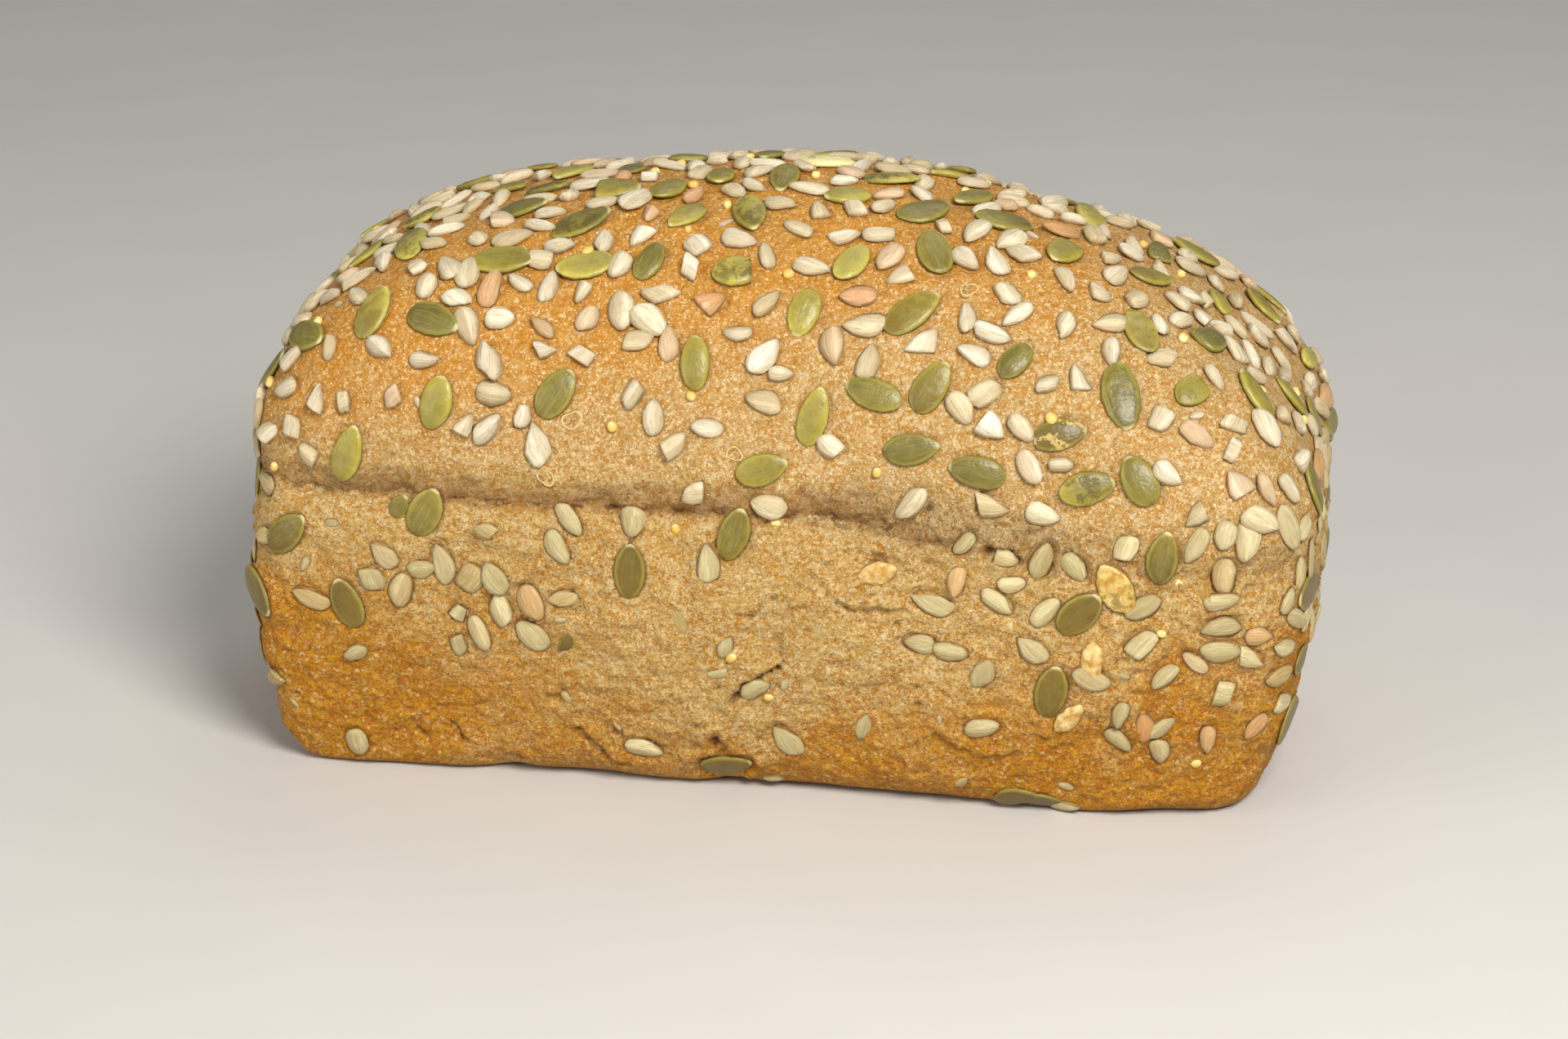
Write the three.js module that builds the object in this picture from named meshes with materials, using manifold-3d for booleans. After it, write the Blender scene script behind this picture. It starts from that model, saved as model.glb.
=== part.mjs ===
// A seeded multigrain loaf, baked in a tin.
// The dough filled a tapering tin, rose over its rim and tore a little there, so the loaf has sloping
// walls, a crease all round at the height of the rim, and a full dome above it. Pumpkin and sunflower
// seeds are baked into the crust: they stand proud on the dome, and lie nearly flush in the walls,
// where the tin pressed them in.
// Millimetres, +Z up, X along the loaf, the front at -Y. The origin is the middle of the flat base.
import * as THREE from "three";
import { mergeVertices } from "three/addons/utils/BufferGeometryUtils.js";
import Module from "manifold-3d";

// The loaf's driving sizes
const BASE_LENGTH = 206;
const BASE_WIDTH = 90;
const RIM_LENGTH = 224.5;
const RIM_WIDTH = 110;
const RIM_HEIGHT = 61.3;
const CROWN_HEIGHT = 122;
const CROWN_LEFT = 4.5; // how far the crown leans to the left end, and to the back
const CROWN_BACK = 3.6;
const DOME_SWELL = 0.8; // how far the dome swells out past the rim
const DOME_FULLNESS = 2.17; // 2 is an ellipse, more has squarer shoulders
const WALL_BOW = 0.3; // the walls bow outwards by this share of their slope
const SQUARE_LEFT = 18; // how square the plan's corners are: 2 is an ellipse
const SQUARE_RIGHT = 6.5;
const SQUARE_RIM = 6.6;
const SQUARE_CROWN = 2.5;

// The lower edge: rounder in the middle of each side than at the corners, with a few deeper notches
const EDGE_ROUND = 6.3;
const EDGE_EVEN = 0.4;
const NOTCHES = [3.22, 3.462, 3.79, 1.3, 2.6]; // places round the loaf
const NOTCH_DEPTH = 3.5;
const NOTCH_WIDTH = 0.022;

// The crease where the dough came over the rim of the tin
const CREASE_DEPTH = 2.5; // its mean depth, and how much that changes once and twice round the loaf
const CREASE_ONCE = 0.8;
const CREASE_TWICE = 1;
const CREASE_DEEPEST = 5.3; // an angle round the loaf, a little left of the front's middle
const CREASE_REACH_UP = 13; // the overhang above it turns in over this height
const CREASE_REACH_DOWN = 2.6;
const CREASE_STEP = 3.6; // it lies this much lower near the right end, and higher near the left one
const STEP_PLACE = 0.3; // where it steps down, as a share of the half length
const STEP_STEEPNESS = 4;

// Slow waves that make the loaf uneven: [wave vector in radians per mm, phase, height in mm]
const LUMPS = [
  [0.041, 0.013, 0.052, 0.6, 0.7],
  [-0.067, 0.058, 0.039, 2.1, 0.55],
  [0.093, -0.021, -0.081, 4.0, 0.45],
  [0.131, 0.117, 0.102, 1.3, 0.3],
];
const SETTLED = 14; // below this height they fade out, because the base is flat

// Seeds: overall sizes, how drawn out the tip and the blunt end are, the corners of the outline, and the
// least gap between two of a kind, from spine to spine
const PUMPKIN = { length: 11.7, width: 6.9, thick: 2.6, tip: 0.62, blunt: 0.5, corners: 7, gap: 10.5 };
const SUNFLOWER = { length: 7.8, width: 4.4, thick: 2.7, tip: 0.8, blunt: 0.46, corners: 5, gap: 3.9 };
const SUNFLOWERS_MODELLED = 110; // the largest come first, the smaller ones are left out
const OTHER_GAP = 4.7; // from a pumpkin seed to a sunflower seed
const SMALLEST = 0.82;
const LARGEST = 1.2;

// How thickly they lie, as the share of thrown seeds that stay. On the dome it grows with the height.
const DOME_SEEDING = 0.03;
const DOME_FROM = 75;
const DOME_THICKENS = 10;
const END_SEEDING = 0.35;
const BACK_SUNFLOWERS = 0.03;
const BACK_PUMPKINS = 0.02;
const FRONT_SUNFLOWERS = 0.003;

// The lower front has few pumpkin seeds: [share along the front, share of the way up, turn in degrees]
const FRONT_PUMPKINS = [
  [0.025, 0.304, 42],
  [0.103, 0.411, 76],
  [0.188, 0.345, 65],
  [0.105, 0.224, 111],
  [0.188, 0.489, 81],
  [0.303, 0.513, 58],
  [0.383, 0.292, 87],
  [0.436, 0.571, 92],
  [0.479, 0.343, 71],
  [0.506, 0.428, 21],
  [0.556, 0.508, 75],
  [0.619, 0.552, 163],
  [0.682, 0.574, 59],
  [0.649, 0.484, 13],
  [0.708, 0.467, 171],
  [0.802, 0.53, 14],
  [0.812, 0.462, 17],
  [0.869, 0.476, 119],
  [0.879, 0.382, 80],
  [0.799, 0.304, 45],
  [0.832, 0.34, 115],
  [0.777, 0.19, 80],
  [0.461, 0.035, 12],
];

// The lower front's sunflower seeds lie in patches: [along, up, radius, in mm, and share of throws kept]
const FRONT_PATCHES = [
  [-49, 43, 12, 0.3],
  [-78, 50, 12, 0.14],
  [-47, 56, 13, 0.16],
  [52, 52, 13, 0.3],
  [84, 36, 17, 0.3],
  [97, 62, 13, 0.16],
];

// Where the mesh has its rows and columns
const COLUMNS_LONG = 22;
const COLUMNS_SHORT = 12;
const RIM_SHARE = 0.36; // the share of the way up where the wall ends and the dome begins
const WALL_ROWS = [0.04, 0.12, 0.32, 0.6, 0.82, 0.95];
const DOME_ROWS = [0, 0.04, 0.1, 0.18, 0.29, 0.42, 0.57, 0.75, 0.9];

const mix = (a, b, t) => a + (b - a) * t;
const clamp = (x) => Math.min(1, Math.max(0, x));
const smooth = (x) => x * x * (3 - 2 * x);
const rise = (x, from, to) => smooth(clamp((x - from) / (to - from)));
const bell = (x) => Math.exp(-x * x);
const SHORT_STEP = 0.004;

// Walks the plan's unit square: 0 to 1 is the right end, then come the back, the left end and the front
function walk(u) {
  const side = ((Math.floor(u) % 4) + 4) % 4;
  const t = u - Math.floor(u);
  if (side === 0) return [1, 2 * t - 1];
  if (side === 1) return [1 - 2 * t, 1];
  if (side === 2) return [-1, 1 - 2 * t];
  return [2 * t - 1, -1];
}

// Radius of the lower edge
function edgeRadius(u) {
  const turn = (u * Math.PI) / 2;
  const waves = 0.2 * Math.cos(11 * turn + 0.4) + 0.14 * Math.cos(19 * turn + 2);
  const notches = NOTCHES.reduce((sum, place) => sum + bell((u - place) / NOTCH_WIDTH), 0);
  return EDGE_ROUND * (1 - EDGE_EVEN * Math.cos(4 * turn) + waves) + NOTCH_DEPTH * notches;
}

// The loaf before creases and lumps, at a place round it (u, 0 to 4) and a share of the way up (v, 0 to 1)
function plainLoaf(u, v) {
  const [sx, sy] = walk(u);
  const step = -CREASE_STEP * Math.tanh(STEP_STEEPNESS * (sx - STEP_PLACE));
  let halfLength, halfWidth, square, z, up;
  if (v < RIM_SHARE) {
    const t = v / RIM_SHARE;
    const spread = t + WALL_BOW * Math.sin(Math.PI * t);
    z = (RIM_HEIGHT + step) * t;
    const radius = edgeRadius(u);
    const tuck = z < radius ? radius - Math.sqrt(radius ** 2 - (radius - z) ** 2) : 0;
    halfLength = mix(BASE_LENGTH, RIM_LENGTH, spread) / 2 - tuck;
    halfWidth = mix(BASE_WIDTH, RIM_WIDTH, spread) / 2 - tuck;
    square = mix(mix(SQUARE_LEFT, SQUARE_RIGHT, smooth(clamp(0.5 + 0.8 * sx))), SQUARE_RIM, t);
    up = 0;
  } else {
    const angle = ((v - RIM_SHARE) / (1 - RIM_SHARE)) * (Math.PI / 2);
    const out = Math.cos(angle) ** (2 / DOME_FULLNESS);
    up = Math.sin(angle) ** (2 / DOME_FULLNESS);
    z = mix(RIM_HEIGHT, CROWN_HEIGHT, up) + step * Math.cos(angle) ** 2;
    const swell = DOME_SWELL * Math.sin(2 * angle);
    halfLength = (RIM_LENGTH / 2 + swell) * out;
    halfWidth = (RIM_WIDTH / 2 + swell) * out;
    square = mix(SQUARE_RIM, SQUARE_CROWN, Math.sin(angle) ** 1.5);
  }
  const pull = (Math.abs(sx) ** square + Math.abs(sy) ** square) ** (-1 / square);
  const x = halfLength * sx * pull - CROWN_LEFT * up ** 2;
  const y = halfWidth * sy * pull + CROWN_BACK * up;
  return new THREE.Vector3(x, y, z);
}

// Unit normal of the plain loaf, from two short steps each way
function plainNormal(u, v) {
  if (v > 1 - SHORT_STEP) return new THREE.Vector3(0, 0, 1);
  const round = plainLoaf(u + SHORT_STEP, v).sub(plainLoaf(u - SHORT_STEP, v));
  const up = plainLoaf(u, v + SHORT_STEP).sub(plainLoaf(u, Math.max(v - SHORT_STEP, 0)));
  return round.cross(up).normalize();
}

// Depth of the crease, which differs round the loaf
function creaseDepth(u) {
  const from = (u * Math.PI) / 2 - CREASE_DEEPEST;
  return CREASE_DEPTH + CREASE_ONCE * Math.cos(from) + CREASE_TWICE * Math.cos(2 * from);
}

// How far the crust stands out from the plain loaf
function relief(u, p) {
  const above = p.z - plainLoaf(u, RIM_SHARE).z;
  const overhang = (1 - clamp(above / CREASE_REACH_UP)) ** 2;
  const lip = Math.exp(Math.min(above, 0) / CREASE_REACH_DOWN);
  let lumps = 0;
  for (const [x, y, z, phase, height] of LUMPS) {
    lumps += height * Math.sin(x * p.x + y * p.y + z * p.z + phase);
  }
  return lumps * smooth(clamp(p.z / SETTLED)) - creaseDepth(u) * overhang * lip;
}

// A point of the crust
function crust(u, v) {
  const p = plainLoaf(u, v);
  return p.clone().addScaledVector(plainNormal(u, v), relief(u, p));
}

// The bread as a closed mesh: rings of points from the middle of the base to the crown
function breadGeometry() {
  const columns = [];
  for (let side = 0; side < 4; side++) {
    const count = side % 2 ? COLUMNS_LONG : COLUMNS_SHORT;
    for (let i = 0; i < count; i++) columns.push(side + i / count);
  }
  const wallShares = WALL_ROWS.map((t) => t * RIM_SHARE);
  const domeShares = DOME_ROWS.map((t) => mix(RIM_SHARE, 1, t));
  const shares = [0, ...wallShares, ...domeShares];
  const points = shares.flatMap((v) => columns.map((u) => crust(u, v)));
  const bottom = points.push(new THREE.Vector3(0, 0, 0)) - 1;
  const top = points.push(crust(0, 1)) - 1;
  const n = columns.length;
  const last = (shares.length - 1) * n;
  const faces = [];
  for (let c = 0; c < n; c++) {
    const d = (c + 1) % n;
    faces.push(bottom, d, c);
    faces.push(top, last + c, last + d);
    for (let r = 0; r < last; r += n) {
      faces.push(r + c, r + d, r + n + d);
      faces.push(r + c, r + n + d, r + n + c);
    }
  }
  return new THREE.BufferGeometry().setFromPoints(points).setIndex(faces);
}

// Seeded draws from 0 to 1, always in the same order
function drawsFrom(start) {
  let state = start;
  return () => {
    state = (state * 48271) % 2147483647;
    return state / 2147483647;
  };
}

// How thickly seeds lie, from 0 to 1: thickest on the crown and the ends, thin on the long walls
function seeding(p, bare) {
  const towardsEnd = rise(Math.abs(p.x), 84, 106);
  const towardsRight = rise(p.x, 45, 85);
  const height = p.z + 12 * towardsRight + 8 * towardsEnd;
  const patchy = 0.6 + 0.4 * Math.sin(0.19 * p.x + 1) * Math.sin(0.13 * p.x + 0.24 * p.y + 2);
  const dome = clamp(DOME_SEEDING * Math.exp((height - DOME_FROM) / DOME_THICKENS) * patchy);
  const ends = END_SEEDING * rise(Math.abs(p.x), 104, 108) * rise(p.z, 14, 26);
  return Math.max(dome, ends, bare);
}

// Share of the thrown sunflower seeds that stay: besides the dome and ends, some in patches of the front
function sunflowerShare(p) {
  if (p.y > 0) return seeding(p, BACK_SUNFLOWERS * rise(p.z, 12, 32));
  const nearest = FRONT_PATCHES.map(([along, up, radius, share]) => {
    return share * bell(Math.hypot(p.x - along, p.z - up) / radius);
  });
  return seeding(p, Math.max(FRONT_SUNFLOWERS, ...nearest));
}

// Share of the thrown pumpkin seeds that stay: the lower front has its own list
function pumpkinShare(p) {
  const listed = p.y < -30 && p.z < 91 && Math.abs(p.x) < 104;
  return listed ? 0 : seeding(p, BACK_PUMPKINS * rise(p.z, 12, 32));
}

// The places of a seed's two ends and middle, which keep the seeds clear of each other
function seedSpine(kind, seed) {
  const reach = 0.42 * (kind.length - kind.width) * seed.size;
  const along = seedFrame(seed).along;
  return [-reach, 0, reach].map((step) => seed.at.clone().addScaledVector(along, step));
}

// Makes a seed from its place on the crust and its own draws
function seedAt(kind, u, v, turn, size, tilt) {
  const seed = { at: crust(u, v), out: plainNormal(u, v), turn, size, tilt };
  seed.spine = seedSpine(kind, seed);
  return seed;
}

// Throws seeds at the crust. One stays if the place is seeded thickly enough and it is clear of the others.
function scatter(kind, start, throws, share, kept, others) {
  const draw = drawsFrom(start);
  for (let i = 0; i < throws; i++) {
    const [u, v] = [4 * draw(), 0.03 + 0.96 * draw()];
    const [chance, spread] = [draw(), mix(0.9, 1.35, draw())];
    const [turn, size] = [2 * Math.PI * draw(), mix(SMALLEST, LARGEST, draw())];
    const tilt = [0.24 * (draw() - 0.5), 0.24 * (draw() - 0.5)];
    if (chance > share(crust(u, v))) continue;
    const seed = seedAt(kind, u, v, turn, size, tilt);
    const touches = (apart) => (other) =>
      other.spine.some((a) => seed.spine.some((b) => a.distanceTo(b) < apart));
    if (kept.some(touches(kind.gap * spread)) || others.some(touches(OTHER_GAP))) continue;
    kept.push(seed);
  }
  return kept;
}

// The directions along, across and out of a seed that lies on the crust
function seedFrame(seed) {
  const level = new THREE.Vector3(0, 0, 1).cross(seed.out);
  if (level.length() < 0.05) level.set(0, 1, 0);
  level.normalize();
  const uphill = seed.out.clone().cross(level);
  const out = seed.out.clone().addScaledVector(level, seed.tilt[0]).addScaledVector(uphill, seed.tilt[1]);
  out.normalize();
  const along = level.multiplyScalar(Math.cos(seed.turn)).addScaledVector(uphill, Math.sin(seed.turn));
  along.addScaledVector(out, -along.dot(out)).normalize();
  return { along, across: out.clone().cross(along), out };
}

// Half width of a seed at s, from its blunt end at -1 to its tip at 1, as a share of its greatest
function seedWidth(kind, s) {
  const profile = (t) => (1 - t) ** kind.tip * (1 + t) ** kind.blunt;
  return profile(s) / profile((kind.blunt - kind.tip) / (kind.blunt + kind.tip));
}

// One seed as a closed lens: an outline, and a middle point above and below it
function seedGeometry(kind, seed) {
  const points = [];
  for (let i = 0; i < kind.corners; i++) {
    const angle = (2 * Math.PI * i) / kind.corners;
    const s = Math.cos(angle);
    const side = Math.sign(Math.sin(angle)) * seedWidth(kind, s);
    points.push(new THREE.Vector3((s * kind.length) / 2, (side * kind.width) / 2, 0));
  }
  const n = kind.corners;
  points.push(new THREE.Vector3(0, 0, kind.thick / 2), new THREE.Vector3(0, 0, -kind.thick / 2));
  const faces = [];
  for (let c = 0; c < n; c++) {
    const d = (c + 1) % n;
    faces.push(n, c, d);
    faces.push(n + 1, d, c);
  }
  const { along, across, out } = seedFrame(seed);
  const pressed = 1 - smooth(clamp((seed.at.z - RIM_HEIGHT) / 16)); // by the tin, in the walls
  const place = new THREE.Matrix4().makeBasis(along, across, out);
  place.setPosition(seed.at.clone().addScaledVector(out, mix(0.14, -0.2, pressed) * kind.thick));
  place.scale(new THREE.Vector3(seed.size, seed.size, 1));
  return new THREE.BufferGeometry().setFromPoints(points).setIndex(faces).applyMatrix4(place);
}

const wasm = await Module();
wasm.setup();

// A closed geometry as a solid that can be joined to others
function solidOf(geometry) {
  const merged = mergeVertices(geometry, 1e-4);
  const vertProperties = merged.attributes.position.array;
  const triVerts = new Uint32Array(merged.index.array);
  return new wasm.Manifold(new wasm.Mesh({ numProp: 3, vertProperties, triVerts }));
}

// Joins the seeds to the bread. The largest body is the loaf, without the hollows that joining sealed.
function fuse(geometries) {
  const joined = wasm.Manifold.union(geometries.map(solidOf));
  const bodies = joined.decompose().sort((a, b) => b.volume() - a.volume());
  const mesh = bodies[0].getMesh();
  const geometry = new THREE.BufferGeometry();
  geometry.setAttribute("position", new THREE.BufferAttribute(mesh.vertProperties, 3));
  geometry.setIndex(new THREE.BufferAttribute(mesh.triVerts, 1));
  geometry.computeVertexNormals();
  return geometry;
}

const frontSeeds = FRONT_PUMPKINS.map(([along, up, turn]) => {
  return seedAt(PUMPKIN, 3 + along, up, THREE.MathUtils.degToRad(turn), 1, [0, 0]);
});
const pumpkins = scatter(PUMPKIN, 2024, 2600, pumpkinShare, frontSeeds, []);
const sunflowers = scatter(SUNFLOWER, 77, 15000, sunflowerShare, [], pumpkins);
const largest = [...sunflowers].sort((a, b) => b.size - a.size).slice(0, SUNFLOWERS_MODELLED);

const crustFinish = new THREE.MeshStandardMaterial({ color: 0xc9924e, roughness: 0.85, metalness: 0 });
const seeds = [
  ...pumpkins.map((seed) => seedGeometry(PUMPKIN, seed)),
  ...largest.map((seed) => seedGeometry(SUNFLOWER, seed)),
];
const loaf = new THREE.Mesh(fuse([breadGeometry(), ...seeds]), crustFinish);
loaf.name = "loaf";

const bread = new THREE.Group();
bread.add(loaf);
console.log(pumpkins.length, "pumpkin seeds and", sunflowers.length, "sunflower seeds");

export default bread;
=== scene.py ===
# %% [markdown]
# # A seeded multigrain loaf
#
# A loaf baked in a tin and rolled in seeds: four steep walls, a torn crease where
# the dough rose out of the tin, and a broad dome crowded with pumpkin seeds and
# sunflower kernels. The construction model is loaded first as a fixed frame, and
# everything below is made round it at its real size.

# %% Load the frame
from math import pi

import bpy
import numpy as np
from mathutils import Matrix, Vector


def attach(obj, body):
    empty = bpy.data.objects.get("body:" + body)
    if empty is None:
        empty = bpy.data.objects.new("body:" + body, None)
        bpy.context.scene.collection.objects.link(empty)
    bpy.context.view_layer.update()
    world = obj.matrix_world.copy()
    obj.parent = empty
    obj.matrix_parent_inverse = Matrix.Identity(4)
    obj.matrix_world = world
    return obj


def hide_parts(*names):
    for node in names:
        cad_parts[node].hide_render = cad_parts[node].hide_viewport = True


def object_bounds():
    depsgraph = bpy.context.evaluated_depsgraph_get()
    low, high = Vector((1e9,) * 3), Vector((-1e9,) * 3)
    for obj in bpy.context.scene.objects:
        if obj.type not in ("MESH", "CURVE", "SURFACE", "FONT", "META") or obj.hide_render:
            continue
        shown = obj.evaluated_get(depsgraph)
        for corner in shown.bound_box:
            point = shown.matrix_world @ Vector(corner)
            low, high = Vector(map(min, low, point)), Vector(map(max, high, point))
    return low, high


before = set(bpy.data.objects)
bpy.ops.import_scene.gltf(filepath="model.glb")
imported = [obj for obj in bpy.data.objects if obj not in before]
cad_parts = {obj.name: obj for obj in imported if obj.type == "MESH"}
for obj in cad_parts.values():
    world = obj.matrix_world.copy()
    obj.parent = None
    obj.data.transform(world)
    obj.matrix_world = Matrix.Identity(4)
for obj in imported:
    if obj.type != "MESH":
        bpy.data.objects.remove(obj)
CAD_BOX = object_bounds()
MM = 0.001
print("frame box in mm", [[round(c / MM, 1) for c in corner] for corner in CAD_BOX])

# %% [markdown]
# ## Camera and light
#
# The camera stands at about a metre, a little to the right of the loaf's middle,
# and looks down on it by twenty degrees. A long lens keeps the walls nearly
# parallel. Three large soft lamps and a pale sky all round give the even light of
# a studio, in which no seed throws a hard shadow.

# %% Camera
AZIMUTH, ELEVATION = np.radians(9.9), np.radians(20.2)
CAMERA_AWAY = 950
AIM = np.array([-3.7, 0, 45.1])
LENS, SENSOR = 100.4, 36


def direction(azimuth, elevation):
    """The unit vector from the aim towards a camera or lamp at these angles."""
    level = np.cos(elevation)
    return np.array([np.sin(azimuth) * level, -np.cos(azimuth) * level, np.sin(elevation)])


def aim(thing, place):
    """Puts a lamp or the camera at place, in mm, with its -Z axis towards the loaf."""
    thing.location = Vector(place * MM)
    thing.rotation_mode = "QUATERNION"
    thing.rotation_quaternion = Vector(AIM - place).to_track_quat("-Z", "Y")


lens = bpy.data.cameras.new("camera")
lens.lens, lens.sensor_width = LENS, SENSOR
lens.clip_start, lens.clip_end = 0.05, 20
camera = bpy.data.objects.new("camera", lens)
bpy.context.scene.collection.objects.link(camera)
aim(camera, AIM + CAMERA_AWAY * direction(AZIMUTH, ELEVATION))
bpy.context.scene.camera = camera
print("camera at", [round(c, 3) for c in camera.location])

# %% Lights
LAMPS = {
    "key": dict(turn=31, height=39, away=1100, size=460, power=14.7),
    "fill": dict(turn=-46, height=16, away=1300, size=1000, power=6.6),
    "top": dict(turn=170, height=60, away=1200, size=700, power=2.2),
}
LAMP_COLOUR = (1, 0.98, 0.95)
for name, facts in LAMPS.items():
    lamp = bpy.data.lights.new(name, "AREA")
    lamp.shape, lamp.size = "DISK", facts["size"] * MM
    lamp.energy, lamp.color = facts["power"], LAMP_COLOUR
    holder = bpy.data.objects.new(name, lamp)
    bpy.context.scene.collection.objects.link(holder)
    aim(holder, AIM + facts["away"] * direction(*np.radians([facts["turn"], facts["height"]])))

SKY, SKY_STRENGTH = (0.86, 0.89, 0.94, 1), 0.26
world = bpy.data.worlds.new("studio")
world.use_nodes = True
world.node_tree.nodes["Background"].inputs["Color"].default_value = SKY
world.node_tree.nodes["Background"].inputs["Strength"].default_value = SKY_STRENGTH
bpy.context.scene.world = world
bpy.context.scene.view_settings.view_transform = "Standard"
print(len(LAMPS), "lamps and a sky of strength", SKY_STRENGTH)

# %% [markdown]
# ## The shape of the bread
#
# The loaf is one surface with two parameters. The first, u, walks round it: 0 to 1
# is the right end, 1 to 2 the back, 2 to 3 the left end and 3 to 4 the front. The
# second, v, climbs from the base edge through the rim of the tin to the crown. Each
# level is a rounded rectangle, a superellipse, and each upright section is a wall
# that leans out, then a dome. The values are those of the construction model, so
# that the finished crust lies where its solid lies.

# %% Values of the loaf, in mm
BASE_LENGTH, BASE_WIDTH = 206, 90
RIM_LENGTH, RIM_WIDTH, RIM_HEIGHT = 224.5, 110, 61.3
CROWN_HEIGHT, CROWN_LEFT, CROWN_BACK = 122, 4.5, 3.6
DOME_SWELL, DOME_FULLNESS, WALL_BOW = 0.8, 2.17, 0.3
SQUARE_LEFT, SQUARE_RIGHT, SQUARE_RIM, SQUARE_CROWN = 18, 6.5, 6.6, 2.5
EDGE_ROUND, EDGE_EVEN, NOTCH_DEPTH, NOTCH_WIDTH = 6.3, 0.4, 3.5, 0.022
NOTCHES = (3.22, 3.462, 3.79, 1.3, 2.6)
CREASE_DEPTH, CREASE_ONCE, CREASE_TWICE, CREASE_DEEPEST = 2.5, 0.8, 1, 5.3
CREASE_REACH_UP, CREASE_REACH_DOWN = 13, 2.6
CREASE_STEP, STEP_PLACE, STEP_STEEPNESS = 3.6, 0.3, 4
LUMPS = (
    (0.041, 0.013, 0.052, 0.6, 0.7),
    (-0.067, 0.058, 0.039, 2.1, 0.55),
    (0.093, -0.021, -0.081, 4.0, 0.45),
    (0.131, 0.117, 0.102, 1.3, 0.3),
)
SETTLED = 14
RIM_SHARE = 0.36
SHORT_STEP = 0.004


# %% Small helpers for arrays
def mix(a, b, share):
    """The value that lies that share of the way from a to b."""
    return a + (b - a) * share


def clamp(value):
    """The value, kept between 0 and 1."""
    return np.clip(value, 0, 1)


def smooth(value):
    """An S-shaped rise from 0 to 1: three squares less two cubes."""
    return value * value * (3 - 2 * value)


def rise(value, start, end):
    """0 below start, 1 above end, and a smooth climb between them."""
    return smooth(clamp((value - start) / (end - start)))


def bell(value):
    """A bell curve of height 1: e to the power of minus the square."""
    return np.exp(-value * value)


def length_of(vectors):
    """The length of each vector, kept as a last axis of one."""
    return np.linalg.norm(vectors, axis=-1, keepdims=True)


# %% The plain loaf
def walk(u):
    """Where u stands on a square path round the loaf, each way from -1 to 1."""
    side = np.floor(u).astype(int) % 4
    along = 2 * (u - np.floor(u)) - 1
    one = np.ones_like(along)
    return np.choose(side, [one, -along, -one, along]), np.choose(side, [along, one, -along, -one])


def edge_radius(u):
    """The base edge's radius: tighter at the corners, with waves and a few notches."""
    turn = u * pi / 2
    waves = 0.2 * np.cos(11 * turn + 0.4) + 0.14 * np.cos(19 * turn + 2)
    notches = sum(bell((u - place) / NOTCH_WIDTH) for place in NOTCHES)
    return EDGE_ROUND * (1 - EDGE_EVEN * np.cos(4 * turn) + waves) + NOTCH_DEPTH * notches


def plain_loaf(u, v):
    """A point of the smooth loaf: a leaning wall below the rim, a full dome above it.

    A level of half length L and half width W is a superellipse: the square path's
    point is pulled in until the sum of its powers is one.
    """
    u, v = np.broadcast_arrays(np.asarray(u, float), np.asarray(v, float))
    east, north = walk(u)
    step = -CREASE_STEP * np.tanh(STEP_STEEPNESS * (east - STEP_PLACE))
    up_wall = clamp(v / RIM_SHARE)
    spread = up_wall + WALL_BOW * np.sin(pi * up_wall)
    wall_z = (RIM_HEIGHT + step) * up_wall
    radius = edge_radius(u)
    arc = np.sqrt(np.clip(radius**2 - (radius - wall_z) ** 2, 0, None))
    tuck = np.where(wall_z < radius, radius - arc, 0)
    base_square = mix(SQUARE_LEFT, SQUARE_RIGHT, smooth(clamp(0.5 + 0.8 * east)))
    turn = clamp((v - RIM_SHARE) / (1 - RIM_SHARE)) * pi / 2
    out = clamp(np.cos(turn)) ** (2 / DOME_FULLNESS)
    up = np.sin(turn) ** (2 / DOME_FULLNESS)
    swell = DOME_SWELL * np.sin(2 * turn)
    wall = v < RIM_SHARE
    dome_z = mix(RIM_HEIGHT, CROWN_HEIGHT, up) + step * np.cos(turn) ** 2
    z = np.where(wall, wall_z, dome_z)
    wall_length = mix(BASE_LENGTH, RIM_LENGTH, spread) / 2 - tuck
    wall_width = mix(BASE_WIDTH, RIM_WIDTH, spread) / 2 - tuck
    half_length = np.where(wall, wall_length, (RIM_LENGTH / 2 + swell) * out)
    half_width = np.where(wall, wall_width, (RIM_WIDTH / 2 + swell) * out)
    dome_square = mix(SQUARE_RIM, SQUARE_CROWN, np.sin(turn) ** 1.5)
    square = np.where(wall, mix(base_square, SQUARE_RIM, up_wall), dome_square)
    up = np.where(wall, 0, up)
    pull = (np.abs(east) ** square + np.abs(north) ** square) ** (-1 / square)
    x = half_length * east * pull - CROWN_LEFT * up**2
    y = half_width * north * pull + CROWN_BACK * up
    return np.stack([x, y, z], -1)


def plain_normal(u, v):
    """The outward direction: the cross product of a short step round and one up."""
    u, v = np.broadcast_arrays(np.asarray(u, float), np.asarray(v, float))
    step_round = plain_loaf(u + SHORT_STEP, v) - plain_loaf(u - SHORT_STEP, v)
    step_up = plain_loaf(u, v + SHORT_STEP) - plain_loaf(u, np.maximum(v - SHORT_STEP, 0))
    normal = np.cross(step_round, step_up)
    normal /= np.maximum(length_of(normal), 1e-15)
    normal[v > 1 - SHORT_STEP] = (0, 0, 1)
    return normal


def above_rim(u, point):
    """How far a point lies above the crease, in mm."""
    return point[..., 2] - plain_loaf(u, np.full(np.shape(u), RIM_SHARE))[..., 2]


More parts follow.
